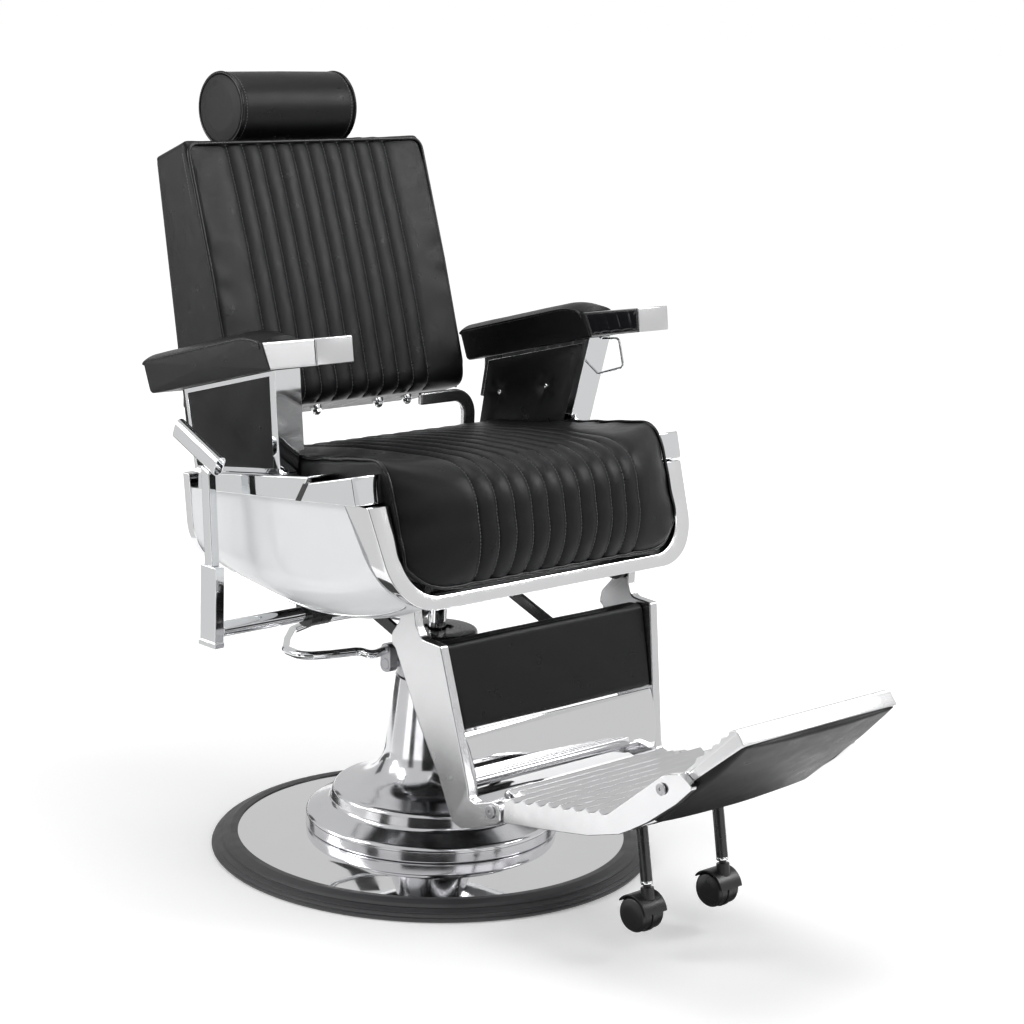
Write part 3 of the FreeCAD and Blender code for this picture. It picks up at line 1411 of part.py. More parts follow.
faults = []
for item in document.Objects:
    if "Invalid" in item.State or "Error" in item.State:
        faults.append("%s: %s" % (item.Label, item.State))
    if item.isDerivedFrom("PartDesign::Pocket"):
        before = item.BaseFeature.Shape.Volume
        if item.Shape.isNull() or before - item.Shape.Volume < 0.5:
            faults.append("%s of %s cuts nothing" % (item.Label, item.getParentGeoFeatureGroup().Label))
for piece in PIECES:
    if piece.Shape.isNull() or not piece.Shape.isValid() or not piece.Shape.Solids:
        faults.append("%s has no sound shape" % piece.Label)
if faults:
    raise RuntimeError("; ".join(faults))
for piece in PIECES:
    piece.Shape.exportStep("parts/%s.step" % piece.Label)
print("%d nodes" % len(PIECES))
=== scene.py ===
"""Dressed scene of a hydraulic barber chair.

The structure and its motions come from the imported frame. This file gives every part its finish and
builds the upholstery, the spun and bent metal and the fine trim as surfaces worked out with numpy.
Lengths are in millimetres until a mesh is made. The chair looks along -Y and its right side is -X.
"""

import json
import logging
import math
from dataclasses import dataclass, field
from enum import Enum
from typing import Callable, Sequence

import bmesh
import bpy
import numpy as np
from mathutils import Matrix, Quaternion, Vector

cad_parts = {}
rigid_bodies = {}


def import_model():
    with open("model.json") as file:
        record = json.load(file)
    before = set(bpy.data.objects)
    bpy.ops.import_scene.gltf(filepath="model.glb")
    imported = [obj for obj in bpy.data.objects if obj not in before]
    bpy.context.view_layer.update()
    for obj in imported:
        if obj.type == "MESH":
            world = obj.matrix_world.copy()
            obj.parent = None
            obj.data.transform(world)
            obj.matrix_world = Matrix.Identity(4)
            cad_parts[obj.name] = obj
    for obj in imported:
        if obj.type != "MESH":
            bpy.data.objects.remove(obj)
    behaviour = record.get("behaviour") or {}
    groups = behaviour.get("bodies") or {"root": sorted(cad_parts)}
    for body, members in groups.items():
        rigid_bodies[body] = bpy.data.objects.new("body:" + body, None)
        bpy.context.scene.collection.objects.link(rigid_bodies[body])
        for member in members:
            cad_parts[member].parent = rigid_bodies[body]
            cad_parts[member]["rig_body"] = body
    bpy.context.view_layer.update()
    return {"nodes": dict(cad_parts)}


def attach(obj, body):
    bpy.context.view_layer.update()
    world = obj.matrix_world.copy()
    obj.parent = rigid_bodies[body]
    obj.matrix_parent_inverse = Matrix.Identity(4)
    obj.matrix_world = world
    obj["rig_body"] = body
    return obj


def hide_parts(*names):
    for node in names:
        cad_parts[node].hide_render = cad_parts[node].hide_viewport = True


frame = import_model()
LOG = logging.getLogger("barber_chair")
MM = 0.001
MERGE = 0.002 * MM          # points closer than this are one
CAD_MERGE = 0.003 * MM      # the same for a CAD node's loose triangles
SLIVER = 1e-7               # metres: shorter edges are dissolved
FLAT_ANGLE = 0.8            # degrees: CAD faces that turn less than this become one
CORNER_ANGLE = 34.0         # degrees: edges of CAD nodes that turn more than this are rounded
CLOUDS = (14.0, 3.0)        # waves to a metre and octaves of the tint
SMUDGES = (45.0, 5.0)       # the same of the gloss
RIM_LEAN = math.tan(math.radians(21.0))     # of the front rim's face
ARM_LEAN = math.tan(math.radians(9.6))      # of the arm frames
RAIL_REAR = 165.0           # place along Y of the side rails' rear end
Array = np.ndarray


class Grain(Enum):
    """The fine relief that a finish shows."""

    LEATHER = "leather"
    CAST = "cast"
    SPUN = "spun"
    POLISHED = "polished"


def noise(tree: bpy.types.NodeTree, place: bpy.types.NodeSocket, scale: float,
          detail: float) -> bpy.types.NodeSocket:
    """A noise value at each place.

    Args:
        tree: The material's node tree.
        place: The coordinates that the noise reads.
        scale: Waves to a metre.
        detail: Octaves of the noise.

    Returns:
        The socket of the value.
    """
    node = tree.nodes.new("ShaderNodeTexNoise")
    node.inputs["Scale"].default_value = scale
    node.inputs["Detail"].default_value = detail
    tree.links.new(place, node.inputs["Vector"])
    return node.outputs["Fac"]


def mapped(tree: bpy.types.NodeTree, value: bpy.types.NodeSocket, low: float, high: float,
           first: float, last: float) -> bpy.types.NodeSocket:
    """Maps a value from one range to another.

    Args:
        tree: The node tree of a material or the world.
        value: The socket to map.
        low: The value that becomes first.
        high: The value that becomes last.
        first: Result at the low end, which is never under 0.01.
        last: Result at the high end.

    Returns:
        The socket of the mapped value.
    """
    node = tree.nodes.new("ShaderNodeMapRange")
    limits = (low, high, max(0.01, first), last)
    for name, number in zip(("From Min", "From Max", "To Min", "To Max"), limits):
        node.inputs[name].default_value = number
    tree.links.new(value, node.inputs["Value"])
    return node.outputs["Result"]


@dataclass(frozen=True)
class Finish:
    """One surface finish: its colour, gloss and relief, made as a node material.

    Pitch and relief are the spacing and the height of the grain in millimetres.
    """

    name: str
    colour: tuple[float, float, float]
    roughness: float
    grain: Grain
    metallic: float = 0.0
    spread: float = 0.06
    tint: float = 0.12
    pitch: float = 1.4
    relief: float = 0.0
    coat: float = 0.0
    specular: float = 0.5

    def material(self) -> bpy.types.Material:
        """Builds the material once and hands the same one back after that.

        Returns:
            The material with this finish's name.
        """
        known = bpy.data.materials.get(self.name)
        if known is not None:
            return known
        material = bpy.data.materials.new(self.name)
        material.use_nodes = True
        tree = material.node_tree
        shader = tree.nodes["Principled BSDF"]
        shader.inputs["Metallic"].default_value = self.metallic
        shader.inputs["Coat Weight"].default_value = self.coat
        shader.inputs["Specular IOR Level"].default_value = self.specular
        shader.inputs["Coat Roughness"].default_value = 0.08
        place = tree.nodes.new("ShaderNodeTexCoord").outputs["Object"]
        colour = tree.nodes.new("ShaderNodeMix")
        colour.data_type = "RGBA"
        colour.inputs["A"].default_value = (*[c * (1 - self.tint) for c in self.colour], 1)
        colour.inputs["B"].default_value = (*[min(1, c * (1 + self.tint)) for c in self.colour], 1)
        clouds, smudges = noise(tree, place, *CLOUDS), noise(tree, place, *SMUDGES)
        tree.links.new(clouds, colour.inputs["Factor"])
        tree.links.new(colour.outputs["Result"], shader.inputs["Base Color"])
        gloss = mapped(tree, smudges, 0.3, 0.7, self.roughness - self.spread, self.roughness + self.spread)
        tree.links.new(gloss, shader.inputs["Roughness"])
        if self.relief > 0:
            bump = tree.nodes.new("ShaderNodeBump")
            bump.inputs["Strength"].default_value = 0.6
            bump.inputs["Distance"].default_value = self.relief * MM
            tree.links.new(self.height(tree, place), bump.inputs["Height"])
            tree.links.new(bump.outputs["Normal"], shader.inputs["Normal"])
        return material

    def height(self, tree: bpy.types.NodeTree, place: bpy.types.NodeSocket) -> bpy.types.NodeSocket:
        """The relief as a height from 0 to 1.

        Args:
            tree: The material's node tree.
            place: The object coordinates.

        Returns:
            The socket that gives the height.
        """
        scale = 1 / (self.pitch * MM)
        if self.grain is Grain.LEATHER:
            cells = tree.nodes.new("ShaderNodeTexVoronoi")
            cells.feature = "DISTANCE_TO_EDGE"
            cells.inputs["Scale"].default_value = scale
            wander = noise(tree, place, scale * 0.6, 2.0)
            shift = tree.nodes.new("ShaderNodeVectorMath")
            shift.operation = "MULTIPLY_ADD"
            shift.inputs[1].default_value = (self.pitch * MM,) * 3
            tree.links.new(wander, shift.inputs[0])
            tree.links.new(place, shift.inputs[2])
            tree.links.new(shift.outputs["Vector"], cells.inputs["Vector"])
            pebbles = mapped(tree, cells.outputs["Distance"], 0.0, 0.22, 0.0, 0.8)
            creases = noise(tree, place, scale * 0.12, 4.0)
            total = tree.nodes.new("ShaderNodeMath")
            tree.links.new(pebbles, total.inputs[0])
            tree.links.new(creases, total.inputs[1])
            return total.outputs[0]
        if self.grain is Grain.SPUN:
            flat = tree.nodes.new("ShaderNodeVectorMath")
            flat.operation = "MULTIPLY"
            flat.inputs[1].default_value = (1, 1, 0)
            reach = tree.nodes.new("ShaderNodeVectorMath")
            reach.operation = "LENGTH"
            split = tree.nodes.new("ShaderNodeSeparateXYZ")
            joined = tree.nodes.new("ShaderNodeCombineXYZ")
            tree.links.new(place, flat.inputs[0])
            tree.links.new(flat.outputs["Vector"], reach.inputs[0])
            tree.links.new(place, split.inputs[0])
            tree.links.new(reach.outputs["Value"], joined.inputs[0])
            tree.links.new(split.outputs["Z"], joined.inputs[2])
            return noise(tree, joined.outputs[0], scale, 4.0)
        return noise(tree, place, scale, 4.0)


LEATHER = Finish("black_leather", (0.0045, 0.0045, 0.0052), 0.32, Grain.LEATHER, spread=0.05, pitch=1.5,
                 relief=0.16, specular=0.22)
PIPING = Finish("piping_leather", (0.003, 0.003, 0.0035), 0.25, Grain.LEATHER, pitch=1.0, relief=0.04,
                specular=0.4)
THREAD = Finish("sewing_thread", (0.16, 0.16, 0.165), 0.55, Grain.CAST, pitch=0.4, relief=0.05)
CHROME = Finish("bright_chrome", (0.86, 0.87, 0.88), 0.05, Grain.POLISHED, metallic=1.0, spread=0.025,
                tint=0.02, pitch=30.0, relief=0.02)
BASE_CHROME = Finish("base_plate_chrome", (0.88, 0.88, 0.89), 0.045, Grain.POLISHED, metallic=1.0,
                     spread=0.02, tint=0.02, pitch=60.0, relief=0.03)
RIM_CHROME = Finish("satin_rim_chrome", (0.88, 0.88, 0.89), 0.10, Grain.POLISHED, metallic=1.0,
                    spread=0.04, tint=0.03, pitch=40.0, relief=0.05)
SATIN = Finish("satin_steel", (0.75, 0.75, 0.76), 0.22, Grain.POLISHED, metallic=1.0, spread=0.01,
               tint=0.03)
INLAY = Finish("dark_mirror_inlay", (0.010, 0.010, 0.012), 0.10, Grain.POLISHED, spread=0.04, coat=0.8,
               pitch=8.0, relief=0.05)
SPUN = Finish("spun_polish", (0.78, 0.78, 0.80), 0.14, Grain.SPUN, metallic=1.0, spread=0.04, tint=0.08)
CAST = Finish("polished_casting", (0.76, 0.76, 0.77), 0.26, Grain.CAST, metallic=1.0, spread=0.015,
              tint=0.04)
RIBBED = Finish("ribbed_casting", (0.76, 0.76, 0.77), 0.14, Grain.CAST, metallic=1.0, spread=0.03,
                tint=0.05)
MIRROR = Finish("plate_polish", (0.80, 0.80, 0.81), 0.03, Grain.POLISHED, metallic=1.0, spread=0.01,
                tint=0.02, pitch=80.0, relief=0.05)
STEEL = Finish("turned_steel", (0.50, 0.50, 0.52), 0.32, Grain.SPUN, metallic=1.0, pitch=1.0,
               relief=0.03)
ENAMEL = Finish("pale_enamel", (0.66, 0.67, 0.68), 0.22, Grain.POLISHED, spread=0.03, tint=0.02,
                pitch=25.0, relief=0.03, coat=0.6)
BLACK_ENAMEL = Finish("black_paint", (0.012, 0.012, 0.013), 0.28, Grain.CAST, pitch=3.0, relief=0.03,
                      coat=0.3)
RUBBER = Finish("moulded_rubber", (0.042, 0.042, 0.045), 0.42, Grain.CAST, pitch=0.9, relief=0.04)
PLASTIC = Finish("moulded_plastic", (0.014, 0.014, 0.015), 0.33, Grain.CAST, pitch=0.8, relief=0.03)
BOARD = Finish("covered_board", (0.022, 0.022, 0.023), 0.6, Grain.CAST, pitch=0.7, relief=0.06)


def rounded(corners: Sequence[Sequence[float | Array]], steps: int = 8) -> Array:
    """A closed outline whose corners are circular arcs.

    An arc runs from where it leaves one side to where it meets the next. Its points are the turning
    of the first radius into the last about the arc's centre.

    Args:
        corners: (u, v) or (u, v, radius) of each corner. A number may be an array over many outlines.
        steps: Pieces of each arc.

    Returns:
        Points of shape (n, 2), or (outlines, n, 2) where a corner holds arrays.
    """
    u = np.stack(np.broadcast_arrays(*[np.asarray(c[0], float) for c in corners]), -1)
    v = np.stack(np.broadcast_arrays(*[np.asarray(c[1], float) for c in corners]), -1)
    u, v = np.broadcast_arrays(u, v)
    place = np.stack([u, v], -1)
    radius = np.array([c[2] if len(c) > 2 else 0.0 for c in corners])[:, None]
    back = np.roll(place, 1, axis=-2) - place
    ahead = np.roll(place, -1, axis=-2) - place
    back /= np.linalg.norm(back, axis=-1, keepdims=True)
    ahead /= np.linalg.norm(ahead, axis=-1, keepdims=True)
    half = np.arccos(np.clip((back * ahead).sum(-1, keepdims=True), -0.999999, 0.999999)) / 2
    inward = (back + ahead) / np.linalg.norm(back + ahead, axis=-1, keepdims=True)
    centre = place + inward * radius / np.sin(half)
    first = place + back * radius / np.tan(half) - centre
    last = place + ahead * radius / np.tan(half) - centre
    turn = math.pi - 2 * half
    share = np.linspace(0, 1, steps + 1)[:, None]
    arcs = (centre[..., None, :] + (np.sin((1 - share) * turn[..., None, :]) * first[..., None, :]
            + np.sin(share * turn[..., None, :]) * last[..., None, :]) / np.sin(turn[..., None, :]))
    return arcs.reshape(*place.shape[:-2], -1, 2)


def bends(steps: Sequence[tuple], count: int = 12) -> Array:
    """A closed outline of straight runs and curved runs that pass through a middle point.

    A curved run is the parabola through its start, its middle point and its end.

    Args:
        steps: (end,) for a straight run or (middle, end) for a curved one. Points may hold arrays.
        count: Pieces of each run.

    Returns:
        Points of shape (outlines, n, 2).
    """
    ends = [np.stack(np.broadcast_arrays(*[np.asarray(w, float) for w in step[-1]]), -1) for step in steps]
    shape = np.broadcast_shapes(*[end.shape for end in ends])
    ends = [np.broadcast_to(end, shape) for end in ends]
    share = (np.arange(count) / count)[:, None]
    runs = []
    for i, step in enumerate(steps):
        start, finish = ends[i - 1][..., None, :], ends[i][..., None, :]
        guide = (start + finish) / 2
        if len(step) == 2:
            middle = np.stack(np.broadcast_arrays(*[np.asarray(w, float) for w in step[0]]), -1)
            guide = 2 * np.broadcast_to(middle, shape)[..., None, :] - guide
        runs.append((1 - share) ** 2 * start + 2 * share * (1 - share) * guide + share ** 2 * finish)
    return np.concatenate(runs, -2)


def evenly(outlines: Array, count: int) -> Array:
    """Moves the points of closed outlines to places evenly spaced along the middle one.

    Args:
        outlines: Points of shape (m, n, 2).
        count: Points wanted on each.

    Returns:
        Points of shape (m, count, 2).
    """
    ring = outlines[len(outlines) // 2]
    ring = np.concatenate([ring, ring[:1]])
    length = np.concatenate([[0.0], np.cumsum(np.linalg.norm(np.diff(ring, axis=0), axis=1))])
    at = np.interp(np.linspace(0, length[-1], count, endpoint=False), length, np.arange(len(ring)))
    low = np.floor(at).astype(int)
    share = (at - low)[:, None]
    known = outlines.shape[1]
    return outlines[:, low % known] * (1 - share) + outlines[:, (low + 1) % known] * share


def outward(outlines: Array) -> Array:
    """Unit normals of closed outlines, square to the line through the neighbours of each point.

    Args:
        outlines: Points of shape (..., n, 2).

    Returns:
        Normals of the same shape that point away from the inside.
    """
    run = np.roll(outlines, -1, axis=-2) - np.roll(outlines, 1, axis=-2)
    following = np.roll(outlines, -1, axis=-2)
    area = (outlines[..., 0] * following[..., 1] - following[..., 0] * outlines[..., 1]).sum(-1)
    side = np.sign(area)[..., None, None]
    normal = np.stack([run[..., 1], -run[..., 0]], -1) * side
    return normal / np.maximum(np.linalg.norm(normal, axis=-1, keepdims=True), 1e-9)


def softened(outlines: Array, width: float) -> Array:
    """Evens out closed outlines by a bell curve, as padding does under its cover.

    The outline's waves are damped by exp(-(k width)^2 / 2), where k is the wave number.

    Args:
        outlines: Points of shape (m, n, 2), evenly spaced.
        width: Width of the bell curve in millimetres.

    Returns:
        The softer outlines.
    """
    middle = outlines[len(outlines) // 2]
    pace = np.linalg.norm(np.diff(middle, axis=0), axis=1).mean()
    wave = 2 * math.pi * np.fft.fftfreq(outlines.shape[1]) / pace
    damping = np.exp(-0.5 * (wave * width) ** 2)[None, :, None]
    return np.fft.ifft(np.fft.fft(outlines, axis=1) * damping, axis=1).real


def step_up(value: Array, low: float, high: float) -> Array:
    """Rises smoothly from 0 at low to 1 at high, as 3t^2 - 2t^3."""
    share = np.clip((value - low) / (high - low), 0, 1)
    return share * share * (3 - 2 * share)


@dataclass
class Surface:
    """Points in millimetres, and the faces that join them as arrays of point numbers."""

    points: Array
    faces: list[Array]

    def plus(self, *others: "Surface") -> "Surface":
        """Puts this surface and others into one.

        Args:
            others: The surfaces that join it.

        Returns:
            One surface that holds them all.
        """
        points, faces = [self.points], list(self.faces)
        base = len(self.points)
        for other in others:
            points.append(other.points)
            faces += [face + base for face in other.faces]
            base += len(other.points)
        return Surface(np.concatenate(points), faces)

    def leant(self, y: float, z: float, degrees: float, x: float = 0.0) -> "Surface":
        """Leans an upright surface back about X, then moves it to (x, y, z)."""
        return Surface(leant_points(self.points, y, z, degrees, x), self.faces)

    def mirrored(self) -> "Surface":
        """The twin on the other side of the chair."""
        return Surface(self.points * (-1, 1, 1), [face[:, ::-1] for face in self.faces])

    def dress(self, name: str, finish: Finish, body: str, slot: str, replaces: Sequence[str] = (),
              sharp: float = 38.0) -> bpy.types.Object:
        """Makes the surface a piece of the chair.

        Args:
            name: Name of the piece.
            finish: What covers it.
            body: The moving body that it rides on.
            slot: The record's material slot.
            replaces: CAD nodes that it stands for.
            sharp: Edges that turn more than this many degrees stay sharp.

        Returns:
            The finished object.
        """
        mesh = bpy.data.meshes.new(name)
        sizes = np.concatenate([np.full(len(face), face.shape[1]) for face in self.faces])
        corners = np.concatenate([face.ravel() for face in self.faces])
        mesh.vertices.add(len(self.points))
        mesh.vertices.foreach_set("co", (self.points * MM).astype(np.float32).ravel())
        mesh.loops.add(len(corners))
        mesh.loops.foreach_set("vertex_index", corners.astype(np.int32))
        mesh.polygons.add(len(sizes))
        mesh.polygons.foreach_set("loop_start", (np.cumsum(sizes) - sizes).astype(np.int32))
        mesh.update(calc_edges=True)
        mesh.validate()
        return finish_piece(mesh, name, finish, body, replaces, sharp)


def finish_piece(mesh: bpy.types.Mesh, name: str, finish: Finish, body: str,
                 replaces: Sequence[str], sharp: float) -> bpy.types.Object:
    """Merges doubles, turns the faces outward, shades the mesh and hangs it on its body.

    Args:
        mesh: The mesh in metres.
        name: Name of the piece.
        finish: What covers it.
        body: The moving body that it rides on.
        replaces: CAD nodes that it stands for.
        sharp: Edges that turn more than this many degrees stay sharp.

    Returns:
        The finished object.
    """
    work = bmesh.new()
    work.from_mesh(mesh)
    bmesh.ops.remove_doubles(work, verts=work.verts, dist=MERGE)
    bmesh.ops.dissolve_degenerate(work, edges=work.edges, dist=SLIVER)
    bmesh.ops.recalc_face_normals(work, faces=work.faces)
    work.to_mesh(mesh)
    work.free()
    mesh.shade_smooth()
    mesh.set_sharp_from_angle(angle=math.radians(sharp))
    mesh.materials.clear()
    mesh.materials.append(finish.material())
    piece = bpy.data.objects.new(name, mesh)
    bpy.context.scene.collection.objects.link(piece)
    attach(piece, body)
    if replaces:
        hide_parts(*replaces)
    LOG.info("%s: %d faces on %s", name, len(mesh.polygons), body)
    return piece


def refined(node: str, finish: Finish, bevel: float = 0.6,
            segments: int = 2) -> bpy.types.Object:
    """A merged copy of a CAD node with rounded edges, which stands for the node.

    Args:
        node: Name of the CAD node.
        finish: What covers it.
        bevel: Width of the rounding in millimetres.
        segments: Faces across the rounding.

    Returns:
        The new piece.
    """
    source = frame["nodes"][node]
    mesh = source.data.copy()
    for name in ("custom_normal", "sharp_edge", "sharp_face"):
        if name in mesh.attributes:
            mesh.attributes.remove(mesh.attributes[name])
    work = bmesh.new()
    work.from_mesh(mesh)
    bmesh.ops.remove_doubles(work, verts=work.verts, dist=CAD_MERGE)
    bmesh.ops.dissolve_limit(work, angle_limit=math.radians(FLAT_ANGLE), verts=work.verts,
                             edges=work.edges)
    work.to_mesh(mesh)
    work.free()
    piece = finish_piece(mesh, node + "_dressed", finish, source["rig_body"], (node,), CORNER_ANGLE)
    if bevel:
        rounding = piece.modifiers.new("Bevel", "BEVEL")
        rounding.width = bevel * MM
        rounding.segments = segments
        rounding.limit_method = "ANGLE"
        rounding.angle_limit = math.radians(CORNER_ANGLE)
        rounding.use_clamp_overlap = False
        rounding.harden_normals = True
    return piece


def skin(rings: Array, looped: bool = False) -> Surface:
    """Joins closed rings of equal count, one after the other.

    Args:
        rings: Points of shape (m, n, 3).
        looped: True where the last ring joins the first. Otherwise both are closed by a fan.

    Returns:
        The surface.
    """
    rows, columns, _ = rings.shape
    index = np.arange(rows * columns).reshape(rows, columns)
    beside = np.roll(index, -1, axis=1)
    above, above_beside = np.roll(index, -1, axis=0), np.roll(beside, -1, axis=0)
    last = rows if looped else rows - 1
    quads = np.stack([index[:last], beside[:last], above_beside[:last], above[:last]], -1)
    faces = [quads.reshape(-1, 4)]
    points = rings.reshape(-1, 3)
    if not looped:
        for row in (0, rows - 1):
            hub = len(points)
            points = np.concatenate([points, rings[row].mean(0)[None]])
            faces.append(np.stack([index[row], beside[row], np.full(columns, hub)], -1))
    return Surface(points, faces)


def prism(corners: Sequence[Sequence[float]], low: float, high: float, edge: float = 1.0) -> Surface:
    """A straight block between two places on X, with its two ends rounded by a quarter circle.

    Towards an end each corner moves in along its mitre, which is the sum of the outward directions of
    its two sides over one plus their product.

    Args:
        corners: (y, z) or (y, z, radius) of each corner of the side view.
        low: Place of the first end.
        high: Place of the last end.
        edge: Radius of the rounding.

    Returns:
        The closed block.
    """
    place = np.array([corner[:2] for corner in corners], float)
    radii = [corner[2] if len(corner) > 2 else 0.4 for corner in corners]
    ahead = np.roll(place, -1, axis=0)
    area = (place[:, 0] * ahead[:, 1] - ahead[:, 0] * place[:, 1]).sum()
    run = (ahead - place) / np.linalg.norm(ahead - place, axis=1, keepdims=True)
    after = np.stack([run[:, 1], -run[:, 0]], -1) * np.sign(area)
    before = np.roll(after, 1, axis=0)
    mitre = (before + after) / (1 + (before * after).sum(1, keepdims=True))
    turn = np.linspace(0, math.pi / 2, 4)
    inset = np.concatenate([[edge + 1.5], edge * (1 - np.sin(turn))])
    depth = np.concatenate([[0.0], edge * (1 - np.cos(turn))])
    x = np.concatenate([low + depth, (high - depth)[::-1]])
    rings = []
    for drawn in (*inset, *inset[::-1]):
        moved = place - mitre * drawn
        rings.append(rounded([(u, v, max(r - drawn, 0.05)) for (u, v), r in zip(moved, radii)], 4))
    shape = np.stack(rings)
    across = np.broadcast_to(x[:, None, None], (*shape.shape[:2], 1))
    return skin(np.concatenate([across, shape], -1))


def two_sided(front: Array, rear: Array) -> Surface:
    """A closed thin piece from two grids of points that share their border.

    Args:
        front: Points of shape (rows, columns, 3).
        rear: Points of the same shape.

    Returns:
        The surface.
    """
    rows, columns, _ = front.shape
    index = np.arange(rows * columns).reshape(rows, columns)
    quads = np.stack([index[:-1, :-1], index[1:, :-1], index[1:, 1:], index[:-1, 1:]], -1).reshape(-1, 4)
    return Surface(np.concatenate([front.reshape(-1, 3), rear.reshape(-1, 3)]),
                   [quads, quads[:, ::-1] + rows * columns])


def sweep(path: Array, radius: float, sides: int = 14, looped: bool = False,
          up: Sequence[float] = (0.0, 0.0, 1.0)) -> Surface:
    """A round rod along a path. Each ring lies square to the path, set out from one side direction.

    Args:
        path: Points of shape (n, 3).
        radius: Radius of the rod.
        sides: Points round it.
        looped: True for a closed path.
        up: A direction that the path never runs along.

    Returns:
        The surface.
    """
    if looped:
        run = np.roll(path, -1, axis=0) - np.roll(path, 1, axis=0)
    else:
        run = np.gradient(path, axis=0)
    run /= np.linalg.norm(run, axis=1, keepdims=True)
    side = np.cross(run, np.asarray(up, float))
    side /= np.maximum(np.linalg.norm(side, axis=1, keepdims=True), 1e-6)
    rise = np.cross(side, run)
    angle = np.linspace(0, 2 * math.pi, sides, endpoint=False)
    rings = (path[:, None] + radius * (np.cos(angle)[None, :, None] * side[:, None]
                                       + np.sin(angle)[None, :, None] * rise[:, None]))
    return skin(rings, looped=looped)


def lathe(profile: Array, sides: int = 180, along_x: bool = False) -> Surface:
    """Turns a closed profile of (radius, height) a full turn about Z, or about X.

    Args:
        profile: Points of shape (n, 2).
        sides: Steps round the axis.
        along_x: True where the axis is X.

    Returns:
        The surface.
    """
    angle = np.linspace(0, 2 * math.pi, sides, endpoint=False)[:, None]
    radius, height = profile[None, :, 0], profile[None, :, 1]
    first, second = radius * np.cos(angle), radius * np.sin(angle)
    level = np.broadcast_to(height, first.shape)
    order = (level, first, second) if along_x else (first, second, level)
    return skin(np.stack(order, -1), looped=True)


def leant_points(points: Array, y: float, z: float, degrees: float, x: float = 0.0) -> Array:
    """Leans points back about X, then moves them to (x, y, z).

    Args:
        points: Points of shape (..., 3), drawn upright about the origin.
        y: Place along Y.
        z: Height.
        degrees: Angle of the lean.
        x: Place along X.

    Returns:
        The moved points.
    """
    sine, cosine = math.sin(math.radians(degrees)), math.cos(math.radians(degrees))
    return np.stack([points[..., 0] + x, y + points[..., 1] * cosine + points[..., 2] * sine,
                     z - points[..., 1] * sine + points[..., 2] * cosine], -1)


def path_bends(points: Sequence[Sequence[float]], radius: float, steps: int = 10) -> Array:
    """An open route in space with every inner corner bent to one radius.

    Each bend is the arc of a circle that touches both runs, cut short where a run is too short.

    Args:
        points: The route's corners.
        radius: Radius of the bends.
        steps: Pieces of each bend.

    Returns:
        Points of shape (n, 3).
    """
    corners = np.asarray(points, float)
    route = [corners[:1]]
    share = np.linspace(0, 1, steps + 1)[:, None]
    for before, corner, after in zip(corners, corners[1:], corners[2:]):
        back, ahead = before - corner, after - corner
        limit = 0.48 * min(np.linalg.norm(back), np.linalg.norm(ahead))
        back, ahead = back / np.linalg.norm(back), ahead / np.linalg.norm(ahead)
        half = math.acos(float(np.clip(back @ ahead, -1, 1))) / 2
        reach = min(radius / math.tan(half), limit)
        bend = reach * math.tan(half)
        centre = corner + (back + ahead) / np.linalg.norm(back + ahead) * bend / math.sin(half)
        first, last = corner + back * reach - centre, corner + ahead * reach - centre
        turn = math.pi - 2 * half
        route.append(centre + (np.sin((1 - share) * turn) * first + np.sin(share * turn) * last)
                     / math.sin(turn))
    return np.concatenate([*route, corners[-1:]])


def stitches(path: Array, away: Array, length: float = 3.6, gap: float = 1.5,
             thick: float = 0.55) -> Surface:
    """A row of short threads laid end to end along a path.

    Each thread is a six-sided spindle: four rings, thin at both ends, half sunk into the cover.

    Args:
        path: Points of the seam, of shape (n, 3).
        away: Unit directions out of the cover at those points.
        length: Length of one thread.
        gap: Room between two threads.
        thick: Radius of the thread.

    Returns:
        The surface of the whole row.
    """
    reach = np.concatenate([[0.0], np.cumsum(np.linalg.norm(np.diff(path, axis=0), axis=1))])
    starts = np.arange(gap, reach[-1] - length - gap, length + gap)
    middles = starts + length / 2
    centre = np.stack([np.interp(middles, reach, path[:, i]) for i in range(3)], -1)
    run = np.stack([np.interp(middles + 0.5, reach, path[:, i]) for i in range(3)], -1) - centre
    run /= np.linalg.norm(run, axis=1, keepdims=True)
    rise = np.stack([np.interp(middles, reach, away[:, i]) for i in range(3)], -1)
    side = np.cross(run, rise)
    side /= np.linalg.norm(side, axis=1, keepdims=True)
    along = np.array([-0.5, -0.3, 0.3, 0.5]) * length
    width = np.array([0.25, 1.0, 1.0, 0.25]) * thick
    angle = np.linspace(0, 2 * math.pi, 6, endpoint=False)
    rings = (centre[:, None, None] + along[None, :, None, None] * run[:, None, None]
             + width[None, :, None, None] * (np.cos(angle)[None, None, :, None] * side[:, None, None]
                                             + np.sin(angle)[None, None, :, None] * rise[:, None, None]))
    one = skin(rings[0])
    count, size = len(rings), len(one.points)
    hubs = rings[:, [0, -1]].mean(2)
    points = np.concatenate([rings.reshape(count, -1, 3), hubs], 1).reshape(-1, 3)
    shift = (np.arange(count) * size)[:, None, None]
    return Surface(points, [(face[None] + shift).reshape(-1, face.shape[1]) for face in one.faces])


